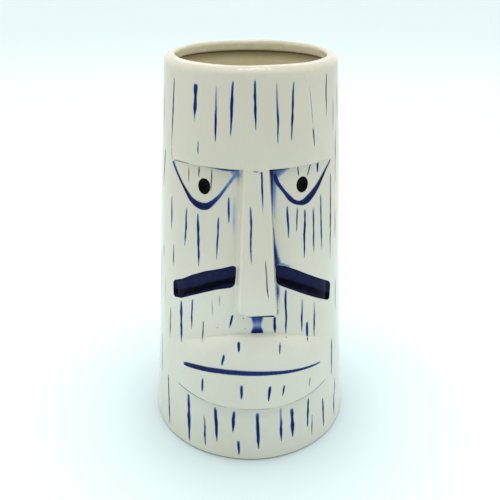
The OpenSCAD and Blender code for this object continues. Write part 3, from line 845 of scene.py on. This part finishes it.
# ---- Painted lines ----
# Shares of the half width across a line, and how much ink and lift the line has there. Lines
# that lie over one another have the crisp edge, which doesn't fade to cream.
SOFT_EDGE = ([-1.9, -1.3, -0.95, -0.5, 0.0, 0.5, 0.95, 1.3, 1.9],
             [0.0, 0.1, 0.6, 1.0, 1.0, 1.0, 0.6, 0.1, 0.0],
             [0.0, 0.02, 0.04, 0.05, 0.06, 0.05, 0.04, 0.02, 0.0])
CRISP_EDGE = ([-1.12, -0.92, -0.5, 0.0, 0.5, 0.92, 1.12], [0.55, 0.85, 1.0, 1.0, 1.0, 0.85, 0.55],
              [0.02, 0.04, 0.05, 0.06, 0.05, 0.04, 0.02])


def ribbon(line, edge, lift=1.0, dip=None):
    """Points, faces and inks of a painted line of [angle, z, width, ink, grey] points."""
    angle, z, width, ink, grey = line.T
    x = np.radians(angle) * MEAN_R
    way_x, way_z = np.gradient(np.stack([x, z]), axis=1)
    half = width / 2 / np.hypot(way_x, way_z)
    points = []
    inks = []
    for share, strength, height in zip(*edge):
        side_angle = np.degrees((x + way_z * half * share) / MEAN_R)
        points.append(surface_point(side_angle, z - way_x * half * share, height * lift, dip))
        inks.append(np.stack([ink * strength, grey], 1))
    return sheet(points, inks)


def joined(parts):
    """Several shapes of points, faces and inks as one shape."""
    faces = []
    first = 0
    for points, part_faces, _ in parts:
        faces += [tuple(first + i for i in face) for face in part_faces]
        first += len(points)
    return np.concatenate([p[0] for p in parts]), faces, np.concatenate([p[2] for p in parts])


# How much ink a stroke holds from its top to its low end, and how grey it is there.
LOOKS = {
    "navy": ([0.5, 0.95, 1.0, 1.0, 0.95, 0.6], [0]),
    "blunt": ([0.95, 1.0, 1.0, 1.0, 0.8, 0.35], [0, 0, 0, 0, 0.1, 0.3]),
    "tail": ([1.0, 1.0, 1.0, 0.75, 0.3, 0.1], [0, 0, 0, 0, 0.4, 0.6]),
    "low": ([0.25, 0.4, 0.6, 0.95, 1.0, 0.7], [0.9, 0.7, 0.2, 0, 0, 0]),
    "ash": ([0.3, 0.5, 0.5, 0.6, 0.9, 0.6], [1, 1, 1, 0.8, 0.4, 0.3]),
    "blue": ([0.35, 0.75, 0.85, 0.85, 0.75, 0.35], [0]),
    "slate": ([0.4, 0.75, 0.85, 0.85, 0.75, 0.35], [0.4, 0.3, 0.3, 0.3, 0.3, 0.4]),
    "grey": ([0.25, 0.55, 0.7, 0.7, 0.55, 0.25], [1, 1, 0.9, 0.9, 1, 1]),
    "faint": ([0.1, 0.25, 0.35, 0.35, 0.25, 0.1], [0.8]),
    "pale": ([0.05, 0.16, 0.2, 0.2, 0.14, 0.05], [0]),
    "violet": ([0.5, 0.9, 1.0, 1.0, 0.9, 0.5], [0.5, 0.3, 0.2, 0.2, 0.3, 0.5]),
}
# A stroke's share of its full width, at shares of the way down it.
SPINDLE = ([0, 0.06, 0.3, 0.6, 0.8, 0.94, 1], [0.5, 0.9, 1, 0.95, 0.75, 0.45, 0.2])
BLUNT = ([0, 0.08, 0.6, 0.75, 0.85, 1], [0.85, 1.0, 1, 0.7, 0.35, 0.12])
LINE_WIDER = 1.35  # the deep lines' glaze spreads past their groove


def stroke(number, top_angle, top_z, low_angle, low_z, width, look):
    """One brush stroke of the grain, a little unsteady, as points, faces and inks."""
    rng = np.random.default_rng(700 + number)
    length = top_z - low_z
    t = np.linspace(0, 1, max(9, int(length / 0.6) + 1))
    bend = rng.normal(0, 1, 3)
    sway = bend[0] * np.sin(1.6 * np.pi * t) + 0.6 * bend[1] * np.sin(3.1 * np.pi * t + bend[2])
    sway *= 0.003 * length + 0.02
    knots = max(4, int(length / 1.7))
    fat = even(t, rng.uniform(0.72, 1.22, knots))
    sway += even(t, rng.uniform(-0.07, 0.07, knots))
    z = top_z - length * t
    angle = on_face(top_angle + (low_angle - top_angle) * t, z) + np.degrees(sway / MEAN_R)
    widths = width * fat * np.interp(t, *(BLUNT if look == "blunt" else SPINDLE))
    ink, grey = (even(t, values) for values in LOOKS[look])
    ink[0] *= 0.4
    ink[-1] *= 0.3
    return ribbon(np.stack([angle, z, widths, ink, grey], 1), SOFT_EDGE)


# The strokes of each area of the grain: angle and height of both ends, width and look.
GRAIN = {
    "grain_forehead": [
        (-57.5, 153.5, -59.5, 128.5, 0.9, "violet"), (-37, 153, -38, 140, 1.6, "blunt"),
        (-23, 153, -23.5, 134, 0.9, "low"), (-12.8, 155, -14.3, 136.3, 1.0, "navy"),
        (0, 155.5, 0.3, 138.5, 0.9, "navy"), (12.6, 154.4, 13.8, 133.8, 0.8, "low"),
        (23.4, 154.5, 21.8, 134.3, 0.9, "violet"), (34.8, 153, 38, 137, 0.5, "faint"),
        (37.6, 138, 39, 130.8, 0.6, "slate"), (50.8, 155.5, 50.2, 140.3, 0.7, "violet"),
        (60, 146, 60, 134, 0.6, "grey"), (-35, 133.7, -35, 128.5, 0.5, "slate")],
    "grain_eyes": [
        (-42, 123, -42, 117, 0.5, "grey"), (-34.3, 124, -34.3, 119.6, 0.7, "grey"),
        (-25.6, 124, -26, 115, 0.55, "grey"), (26.8, 124.2, 27.4, 120.3, 0.6, "slate"),
        (36.2, 124.2, 33.4, 119.8, 0.6, "slate"), (42.3, 124.2, 42, 120.3, 1.0, "navy")],
    "grain_nose": [
        (3.9, 123.8, 4.7, 109, 0.7, "tail"), (-2.4, 112, -2, 90.2, 0.75, "slate"),
        (6.1, 92, 7.6, 76.8, 0.5, "ash")],
    "grain_cheek_left": [
        (-58, 110, -58, 95.5, 0.8, "slate"), (-43.4, 107.4, -44.5, 91.8, 0.9, "blue"),
        (-34.8, 106.2, -33.5, 85, 1.0, "navy"), (-20.9, 106.2, -22, 89, 0.8, "blue"),
        (-14.8, 114, -14.9, 103.6, 0.8, "blue"), (-11.6, 114.5, -11.8, 98, 1.5, "pale"),
        (-55, 91, -55.5, 81, 0.8, "grey"), (-46.8, 68.4, -46.5, 49.5, 1.2, "navy"),
        (-37.6, 71, -38.4, 57.5, 0.8, "slate"), (-29.8, 63, -30.5, 53.5, 0.6, "grey"),
        (-24.6, 72.8, -24.2, 65.5, 0.4, "faint"), (-20, 75.3, -19.8, 70, 0.4, "faint"),
        (-58, 62, -58.5, 47, 0.8, "grey"), (-12.2, 67.2, -14, 61.2, 0.85, "blunt")],
    "grain_cheek_right": [
        (19.7, 110.2, 20.8, 97.2, 0.9, "blue"), (26.5, 109, 25.9, 99.3, 0.7, "blue"),
        (32, 107.6, 31.2, 88.1, 0.9, "navy"), (38.7, 107.5, 38.8, 89, 0.8, "blue"),
        (44.8, 111.9, 45.8, 89.3, 0.8, "blue"), (56, 118.5, 55, 83, 0.8, "violet"),
        (18.8, 77, 18.9, 57.8, 0.9, "navy"), (29.6, 71.8, 29.2, 57, 0.7, "low"),
        (33, 61, 33.2, 52.6, 0.9, "navy"), (38.7, 68.5, 38.6, 53, 0.7, "low"),
        (12.2, 66.2, 12.2, 58.8, 1.1, "navy")],
    "grain_lips": [
        (-8.6, 57.6, -8.7, 53.4, 0.95, "navy"), (-17, 52, -18.3, 46.8, 0.8, "blue"),
        (14.8, 56.6, 14.4, 51.4, 0.6, "grey"), (-29.8, 38.9, -30.4, 31.8, 0.9, "blue"),
        (-7, 39.3, -7, 32.3, 0.9, "blue"), (9, 38.4, 7.9, 31.1, 0.9, "navy"),
        (17.3, 37.8, 16.1, 32.4, 0.7, "violet"), (34.5, 36.6, 33.8, 32.2, 0.5, "grey")],
    "grain_chin": [
        (-40.2, 26.4, -39, 2.4, 1.3, "navy"), (-29, 19, -28, 3.6, 0.8, "low"),
        (-22, 24.7, -20.8, 7.4, 1.1, "navy"), (-11, 24.3, -11.7, 13.6, 1.2, "navy"),
        (-8.5, 10, -8, 2.4, 0.9, "blue"), (2.1, 23.9, 2.8, 5.7, 1.2, "navy"),
        (15.3, 25.1, 16, 8, 1.0, "low"), (22.2, 23.3, 23, 8.4, 1.3, "navy"),
        (33.7, 25, 33, 10.2, 0.9, "navy"), (36.5, 15.8, 36.5, 4.2, 0.5, "grey"),
        (46, 20.5, 47, 4.5, 1.0, "slate"), (60, 17, 60, 4, 1.0, "slate"),
        (-60, 28, -57.5, 2.4, 1.0, "violet"), (42.8, 30.5, 42.8, 26.9, 0.8, "pale")],
    "grain_side_left": [
        (-74, 149, -75, 132, 0.8, "grey"), (-70, 126, -72, 111, 1.0, "violet"),
        (-70, 87, -70, 81, 0.9, "grey"), (-75, 82, -75, 60, 0.8, "grey"),
        (-72, 44, -71, 24, 0.8, "slate"), (-66, 74, -66, 62, 0.5, "faint")],
    "grain_side_right": [
        (64.5, 134, 63.5, 113, 0.9, "grey"), (63, 103, 63, 90, 0.9, "grey"),
        (64, 72, 64, 57, 0.7, "grey"), (57, 46, 56.5, 27, 1.0, "slate"),
        (68, 150, 69, 138, 0.7, "grey"), (62, 24, 61.5, 15, 0.9, "grey")],
    "grain_back": [],
}

# Round the sides and the back the grain runs in staggered rows.
# Each row is (top of its strokes, their usual length, first angle, angle between strokes).
GRAIN_ROWS = [(154, 18, 84, 10.2), (133, 20, 88, 11.4), (110, 22, 82, 10.6),
              (84, 19, 86, 11.2), (61, 21, 83, 10.4), (35, 24, 87, 9.8)]
SIDE_END = 112  # the back begins at this angle
ROW_LOOKS = ["navy", "blue", "slate", "low", "navy", "blue", "tail", "violet", "blue", "grey"]
ROW_SPREAD = 4  # how far strokes may be moved round the mug, in degrees
ROW_DROP = 7  # how far their tops may be lowered
ROW_LEAN = 1.6
ROW_LOW = 3  # no stroke ends below this height
ROW_SHARES = (0.6, 1.2)  # the least and the greatest share of its usual length
ROW_WIDTHS = (0.5, 1.2)


def scatter(i, j):
    """A number from 0 to 1 that looks random, from the golden ratio."""
    return (i * 0.618034 + j * 0.381966 + i * j * 0.137) % 1


def between(ends, share):
    return ends[0] + (ends[1] - ends[0]) * share


def add_row_strokes():
    for j, (row_top, length, first, apart) in enumerate(GRAIN_ROWS):
        for i in range(int((360 - 2 * first) / apart) + 1):
            angle = first + i * apart + ROW_SPREAD * (scatter(i, j) - 0.5)
            top = row_top - ROW_DROP * scatter(i + 3, j + 1)
            low = max(top - length * between(ROW_SHARES, scatter(i + 7, j + 5)), ROW_LOW)
            lean = ROW_LEAN * (scatter(i + 11, j) - 0.5)
            width = between(ROW_WIDTHS, scatter(i + 5, j + 9))
            look = ROW_LOOKS[(3 * i + 7 * j) % len(ROW_LOOKS)]
            area = "back"
            if angle < SIDE_END:
                area = "side_right"
            elif angle > 360 - SIDE_END:
                area = "side_left"
            GRAIN["grain_" + area].append((angle, top, angle + lean, low, width, look))


def plain_line(points, step=0.6):
    """A plain painted line of [angle, z, width, ink, grey] points."""
    line = smooth_line(points, step)
    line[:, 0] = on_face(line[:, 0], line[:, 1])
    line[[0, -1], 3] *= 0.5
    return ribbon(line, CRISP_EDGE, 0.8)


def make_deep_line(node, points, inks, material):
    """A glaze-filled line in its groove; inks is how much ink it holds at each point."""
    line = smooth_line([point + [ink, 0] for point, ink in zip(points, inks)], 0.45)
    line[:, 2] *= LINE_WIDER
    add_piece(node + "_glaze", "navy_line", node, material,
              *ribbon(line, CRISP_EDGE, 3.0, line_dip))


# ---- Pupils and bars ----
# Rings of a pupil from its edge to its middle: share of its size, and lift from the face.
PIT = [(1.07, -0.02), (1.03, 0.05), (0.985, 0.04), (0.93, -0.1), (0.84, -0.36), (0.7, -0.62),
       (0.5, -0.82), (0.25, -0.92)]
PIT_MIDDLE = -0.95


def make_pupil(node, angle, z, tilt, material):
    """A shallow round pit, glazed black, with a soft edge on the face."""
    around = np.radians(np.arange(0, 360, 7.5))
    angle = on_face(angle, z)
    rings = []
    inks = []
    for reach, lift in PIT:
        u = PUPIL_W / 2 * reach * np.cos(around)
        v = PUPIL_H / 2 * reach * np.sin(around)
        x, y = turned(u, v, tilt)
        rings.append(surface_point(angle + np.degrees(x / MEAN_R), z + y, lift))
        inks += [[1.0 if reach < 1.02 else 0.6, 0]] * len(around)
    points, faces = vessel(rings, surface_point(angle, z, PIT_MIDDLE))
    add_piece(node + "_glaze", "black_glaze", node, material, points, faces, inks + [[1, 0]])


# How far in from the bar's edge, and how high above the face, the rings of its glaze are.
BAR_PROFILE = [(-0.2, 0.0), (-0.14, 0.04), (-0.08, 0.05), (-0.02, 0.02), (0.06, -0.1),
               (0.12, -0.3), (0.18, -0.5), (0.26, -0.7), (0.4, -0.86), (0.6, -0.95), (0.9, -0.99)]
BAR_PROFILE += [(inset, -BAR_DEPTH) for inset in (1.3, 1.7, 2.1, 2.5, 2.9, 3.3, 3.8)]
BAR_EDGE_INK = [0.3, 0.45, 0.55, 0.7]  # the most ink that its outermost rings hold
# Painted reflection: shares of a bar's height from its low edge up, and the ink there; the black
# band low down is a painted dark reflection and the lighter navy above it a painted sheen.
BAR_PAINTED_REFLECTION = ([0, 0.08, 0.14, 0.34, 0.45, 0.75, 1], [0.72, 0.78, 0.98, 1.0, 0.66, 0.57, 0.6])


def floor_faces(first):
    """Faces across the innermost ring of a bar: narrow strips from its top edge to its low
    edge, which keep the floor's curve, and one face at each end."""
    along_steps, end_steps, corner_steps = BAR_STEPS
    top_end = 2 * corner_steps + along_steps
    low_end = 2 * top_end + end_steps
    count = low_end + end_steps
    faces = [(first + i, first + i + 1, first + low_end - i - 1, first + low_end - i)
             for i in range(top_end)]
    faces.append(tuple(first + i for i in range(top_end, top_end + end_steps + 1)))
    faces.append(tuple(first + i % count for i in range(low_end, count + 1)))
    return faces


def make_bar(node, low, top, material):
    """The dark glaze that lines a cheek pocket, with its thin blue edge on the face."""
    rings = []
    inks = []
    for k, (inset, lift) in enumerate(BAR_PROFILE):
        ring, height = bar_ring(low, top, inset)
        rings.append(surface_point(ring[:, 0], ring[:, 1], lift))
        uneven = 0.3 * np.sin(0.13 * ring[:, 0]) + 0.07 * np.sin(0.9 * ring[:, 0])
        # Painted reflection: ink by height paints a black band low in the bar and a lighter sheen
        # above it.
        ink = np.interp(0.5 + (height + uneven) / (2 * bar_half_height(low, top)), *BAR_PAINTED_REFLECTION)
        if k < len(BAR_EDGE_INK):
            ink = np.minimum(ink, BAR_EDGE_INK[k])
        inks.append(np.stack([ink, 0 * ink], 1))
    count = len(rings[0])
    faces = grid_faces(len(rings), count, True) + floor_faces((len(rings) - 1) * count)
    if low[0][0] < 0:
        faces = flipped(faces)
    add_piece(node + "_glaze", "navy_pool", node, material, np.concatenate(rings), faces,
              np.concatenate(inks))


# ---- Washes ----
def make_philtrum(material):
    """The hourglass of blue between the nose and the lips, and the line under the nose."""
    z = np.linspace(PHILTRUM[0][0] - 0.3, PHILTRUM[-1][0] + 0.2, 26)
    half = np.interp(z, *zip(*PHILTRUM))
    down = np.interp(z, [59.4, 60.6, 62, 63.2, 65.2, 67.3, 69],
                     [1.3, 1.1, 0.6, 0.34, 0.7, 0.8, 1.3])
    # Shares of the half width across it, and the ink there.
    across = {-1.25: 0.0, -1.0: 0.5, -0.8: 0.9, -0.4: 0.9, 0.0: 0.8, 0.4: 0.85, 0.8: 0.95, 1.0: 0.5,
              1.25: 0.0}
    points = []
    inks = []
    for share, strength in across.items():
        x = PHILTRUM_X + half * share
        angle = np.degrees(np.arcsin(x / surface_r(np.degrees(x / MEAN_R), z)))
        points.append(surface_point(angle, z, 0.05 * (1 - abs(share) / 1.3)))
        inks.append(np.stack([np.clip(down * strength, 0, 1), 0 * down], 1))
    points, faces, inks = sheet(points, inks)
    low = NOSE_Z + 0.5
    under_nose = plain_line([[-4.5, low, 0.3, 0.5, 0.2], [-1, low, 0.6, 1, 0], [5, low, 0.8, 1, 0],
                             [9.6, low + 0.2, 0.7, 1, 0]])
    add_piece("philtrum_wash_blue", "blue_wash", "philtrum_wash", material,
              *joined([(points, flipped(faces), inks), under_nose]))


PATCH_STEP = 0.2


def brushed(lines, places):
    """How much ink soft lines of [angle, z, width, ink, grey] points leave at places in space,
    and how grey it is there."""
    dense = np.concatenate([moved(smooth_line(points, 0.15)) for points in lines])
    ink = np.zeros(places.shape[:-1])
    grey = np.zeros(places.shape[:-1])
    middles = surface_point(dense[:, 0], dense[:, 1])
    for middle, (_, _, width, strength, greyness) in zip(middles, dense):
        away = np.linalg.norm(places - middle, axis=-1)
        amount = strength * (1 - ramp(away / width, 0.2, 0.85))
        grey = np.where(amount > ink, greyness, grey)
        ink = np.maximum(ink, amount)
    return ink, grey


def make_wash(node, lines, neighbours, material):
    """A thin skin of colour brushed on in soft lines. Where a neighbouring wash is stronger,
    the skin is left to that wash, and both have the same colour where they meet."""
    points = np.array(moved([point for line in lines for point in line]))
    line_x = np.radians(points[:, 0]) * MEAN_R
    line_z = points[:, 1]
    x, z = np.meshgrid(np.arange(line_x.min() - 2.5, line_x.max() + 2.5, PATCH_STEP),
                       np.arange(line_z.min() - 2.5, line_z.max() + 0.8, PATCH_STEP))
    angle = np.degrees(x / MEAN_R)
    places = surface_point(angle, z)
    ink, grey = brushed(lines, places)
    own = ink > 0.015
    if neighbours:
        other_ink, other_grey = brushed(neighbours, places)
        own &= ink >= other_ink
        grey = np.where(other_ink > ink, other_grey, grey)
        ink = np.maximum(ink, other_ink)
    own = own.ravel()
    in_bar = (bar_inset(angle, z) > -0.08).ravel()
    faces = [face for face in grid_faces(*x.shape, False)
             if own[list(face)].any() and not in_bar[list(face)].any()]
    used = sorted({i for face in faces for i in face})
    place = {old: new for new, old in enumerate(used)}
    faces = [tuple(place[i] for i in face) for face in faces]
    skin = surface_point(angle, z, 0.045, line_dip).reshape(-1, 3)[used]
    inks = np.stack([ink, grey], -1).reshape(-1, 2)[used]
    add_piece(node + "_blue", "blue_wash", node, material, skin, faces, inks)


BROW_WASH_LEFT = [
    [[-30, 124.3, 0.5, 0.45, 0.5], [-24, 124.2, 0.8, 0.8, 0.2], [-20, 124.1, 1.1, 0.95, 0.2],
     [-14, 123.9, 1.3, 0.7, 0.2], [-9.6, 123.8, 1.4, 0.5, 0.2]],
    [[-12.4, 123, 1.8, 0.32, 0.3], [-10.2, 122.3, 2.8, 0.42, 0.3]],
    [[-9.4, 122.5, 1.2, 0.3, 0.2], [-9.5, 120.4, 1.2, 0.2, 0.5], [-9.6, 118.8, 0.8, 0.1, 0.5]]]
BROW_WASH_RIGHT = [
    [[8.9, 124, 1.6, 0.9, 0.2], [12, 124, 1.8, 0.72, 0.3], [16, 124, 1.7, 0.68, 0.3],
     [20.5, 124.1, 1.2, 0.4, 0.3]],
    [[18, 123.4, 1.6, 0.3, 0.3], [14.5, 122.9, 2.6, 0.46, 0.3], [11.2, 122, 3.2, 0.6, 0.3]]]
NOSE_WASH = [
    [[9.6, 124.2, 1.7, 1, 0.2], [9.9, 119, 1.5, 0.95, 0.2], [10.1, 114, 1.1, 0.85, 0.2],
     [10.3, 110, 0.9, 0.6, 0.2], [10.5, 105.5, 0.6, 0.35, 0.3]],
    [[10.8, 122.6, 3.0, 0.62, 0.25], [11.1, 120, 2.4, 0.5, 0.2], [11.1, 117, 2.3, 0.38, 0.2],
     [11.1, 112, 2.0, 0.25, 0.1], [11.3, 106, 1.4, 0.14, 0.2]],
    [[10.5, 106.5, 0.7, 0.35, 0.7], [10.7, 103.6, 0.9, 0.6, 0.5], [10.8, 100.5, 0.7, 0.4, 0.5]],
    [[11, 102, 0.9, 0.7, 0.2], [11.3, 96, 1.7, 0.95, 0.2], [11.9, 91, 2.6, 0.95, 0.2],
     [12.3, 88.4, 3.4, 0.9, 0.2]],
    [[13.5, 88.2, 1.3, 0.55, 0.2], [17, 87.3, 1.1, 0.4, 0.2], [21, 86.2, 0.9, 0.25, 0.2]],
    [[13.2, 79.6, 1.4, 0.4, 0.2], [13.4, 77, 1.8, 0.8, 0.2], [13.6, 73, 1.3, 0.6, 0.2],
     [13.7, 67, 0.8, 0.3, 0.3]]]
BROW_FAINT = [
    [[-56, 124, 0.4, 0.4, 1], [-50, 124.2, 0.5, 0.55, 1], [-42, 124.2, 0.45, 0.3, 1]],
    [[-1.0, 124.4, 0.5, 0.3, 1], [1.2, 124.3, 0.6, 0.5, 1], [2.2, 124.2, 0.4, 0.3, 1]],
    [[3.6, 124.2, 0.7, 0.8, 0.5], [4.0, 123.6, 1.0, 1, 0.5]],
    [[-59.4, 128.3, 0.4, 0.4, 1], [-59.3, 126, 0.35, 0.35, 1], [-58.5, 124, 0.35, 0.3, 0.8]]]

# Small dark specks in the glaze, as [angle, height].
SPECKS = [[-6, 66], [-5, 61.6], [-1.8, 95.4], [18.8, 57.2], [-21, 61], [4.4, 123.6]]

# Faint colour along the foot of the lips: how grey it is, and its [angle, ink] points.
CREASES = [(0.6, [(-49, 0.2), (-44, 0.5), (-37, 0.65), (-31, 0.55), (-27, 0.2)]),
           (1, [(-25, 0.15), (-21, 0.45), (-15, 0.25)]),
           (0.2, [(-10, 0.15), (-4, 0.35), (2, 0.5), (5, 0.75), (8.5, 0.3)]),
           (0.8, [(19, 0.1), (24, 0.4), (31, 0.5), (38, 0.5), (44, 0.5), (49, 0.2)])]
CREASE_W = 0.85


def speck_line(angle, z):
    return [[angle, z + 0.22, 0.3, 0.6, 1], [angle, z, 0.5, 0.9, 1],
            [angle + 0.1, z - 0.22, 0.3, 0.6, 1]]


def crease_line(grey, parts):
    return [[angle, float(lip_low_z(math.radians(angle))) + 0.25, CREASE_W, ink, grey]
            for angle, ink in parts]


# ---- Build everything ----
cream = cream_material()
grain = ink_material("grain_blue", 0.55)
wash = ink_material("blue_wash", 0.7)
line_ink = ink_material("navy_line", 0.55)
pool = pool_material("navy_pool", (28, 34, 66), (22, 22, 54), (1, 2, 12), 0.03)
black = pool_material("black_glaze", (10, 10, 12), (5, 5, 6), (2, 2, 2), 0.05)

make_body(cream)
make_liner(liner_material())
make_foot(clay_material())
for pupil in PUPILS:
    make_pupil(*pupil, black)
make_deep_line("eye_line_left", EYE_LEFT,
               [0.6, 0.9, 1, 1, 1, 1, 1, 1, 0.85, 0.65, 0.5, 0.4], line_ink)
make_deep_line("eye_line_right", EYE_RIGHT,
               [0.8, 0.9, 0.85, 0.95, 1, 1, 1, 1, 1, 1, 1, 0.9, 0.6], line_ink)
make_deep_line("mouth_line", MOUTH,
               [0.9, 1, 1, 0.92, 0.86, 0.84, 0.84, 0.82, 0.82, 0.8, 0.5], line_ink)
for bar_node, bar_edges in BARS.items():
    make_bar(bar_node, *bar_edges, pool)
make_wash("brow_wash_left", BROW_WASH_LEFT, [], wash)
make_wash("brow_wash_right", BROW_WASH_RIGHT, NOSE_WASH, wash)
make_wash("nose_side_wash", NOSE_WASH, BROW_WASH_RIGHT, wash)
make_philtrum(wash)

add_row_strokes()
FINE_LINES = {
    "grain_eyes": [plain_line(line) for line in BROW_FAINT],
    "grain_nose": [plain_line(speck_line(*place), 0.15) for place in SPECKS],
    "grain_chin": [plain_line(crease_line(*crease)) for crease in CREASES],
}
for grain_node, strokes in GRAIN.items():
    grain_name = grain_node + "_strokes"
    parts = [stroke(17 * k + len(grain_name), *ends) for k, ends in enumerate(strokes)]
    parts += FINE_LINES.get(grain_node, [])
    add_piece(grain_name, "grain_blue", grain_node, grain, *joined(parts))


# ---- Floor, light and camera ----
def make_floor():
    """Pale paper, with a painted soft shadow that makes it greyer close to the mug."""
    n = material_nodes("floor_paper")
    paper = n.ramp(n.noise(3, 2), (0.3, (229, 244, 247)), (0.7, (232, 245, 248)))
    # Painted shadow: the paper greys towards the mug's foot.
    colour = n.mix(n.away_range(0.04, 0.13, 0.55, 0.0), paper, (176, 192, 196))
    n.shade(Base_Color=colour, Roughness=0.7, Specular_IOR_Level=0.2)
    mesh = bpy.data.meshes.new("floor")
    shape = bmesh.new()
    bmesh.ops.create_circle(shape, cap_ends=True, segments=96, radius=6)
    shape.to_mesh(mesh)
    shape.free()
    mesh.materials.append(n.owner)
    put_in_scene("floor", mesh)


FRONT_LIGHT = 0.72
ROOM_LIGHT = 1.17


def make_world():
    """A bright studio all round, dimmer in front, where the photographer stands."""
    world = bpy.data.worlds.new("studio")
    bpy.context.scene.world = world
    n = Nodes(world)
    axes = n.add("ShaderNodeSeparateXYZ", {"Vector": n.coordinates["Generated"]}).outputs
    facing = n.add("ShaderNodeMapRange", {
        "Value": axes["Y"], "From Min": -1.0, "From Max": 0.1, "To Min": FRONT_LIGHT,
        "To Max": ROOM_LIGHT}, interpolation_type="SMOOTHSTEP").outputs["Result"]
    seen = n.add("ShaderNodeLightPath").outputs["Is Camera Ray"]
    strength = n.add("ShaderNodeMix", {0: seen, 2: facing, 3: 1.0}).outputs[0]
    n.fill(n.tree.nodes["Background"], {"Strength": strength, "Color": (250, 251, 249)})


def area_light(name, place, aim_z, width, height, power):
    """A lamp that is aimed at a height on the mug's axis."""
    light = bpy.data.lights.new(name, "AREA")
    light.shape = "RECTANGLE"
    light.size = width
    light.size_y = height
    light.energy = power
    lamp = put_in_scene(name, light)
    lamp.location = place
    aim = Vector((0, 0, aim_z)) - Vector(place)
    lamp.rotation_euler = aim.to_track_quat("-Z", "Y").to_euler()


# The camera stands a little left of the nose, above the rim, and looks down at the mug.
CAMERA_AWAY = 0.243
CAMERA_UP = 0.1934
CAMERA_SIDE = math.radians(2.5)
CAMERA_PITCH = math.radians(25.5)
CAMERA_ROLL = math.radians(0.29)
CAMERA_LENS = 44.93


def make_camera():
    camera_data = bpy.data.cameras.new("camera")
    camera_data.lens = CAMERA_LENS
    camera_data.sensor_width = 36
    camera = put_in_scene("camera", camera_data)
    level = Vector((math.sin(CAMERA_SIDE), math.cos(CAMERA_SIDE), 0))
    forward = level * math.cos(CAMERA_PITCH) - Vector((0, 0, math.sin(CAMERA_PITCH)))
    right = Vector((level.y, -level.x, 0))
    up = right.cross(forward)
    right_rolled = right * math.cos(CAMERA_ROLL) + up * math.sin(CAMERA_ROLL)
    up_rolled = up * math.cos(CAMERA_ROLL) - right * math.sin(CAMERA_ROLL)
    turn = Matrix((right_rolled, up_rolled, -forward)).transposed().to_4x4()
    place = Vector((0, 0, CAMERA_UP)) - level * CAMERA_AWAY
    camera.matrix_world = Matrix.Translation(place) @ turn
    bpy.context.scene.camera = camera


make_floor()
make_world()
area_light("soft_left", (-0.75, -0.05, 0.35), 0.08, 0.5, 0.9, 0.4)
area_light("soft_right", (0.75, -0.05, 0.35), 0.08, 0.5, 0.9, 0.4)
area_light("soft_top", (0.0, 0.0, 0.9), 0.1, 0.3, 0.15, 1.7)
area_light("soft_strip", (0.0, -0.3, 0.8), 0.15, 0.9, 0.03, 0.9)
area_light("soft_back", (0.0, 0.8, 0.8), 0.05, 0.9, 0.4, 1.2)
make_camera()
bpy.context.scene.view_settings.view_transform = "Standard"
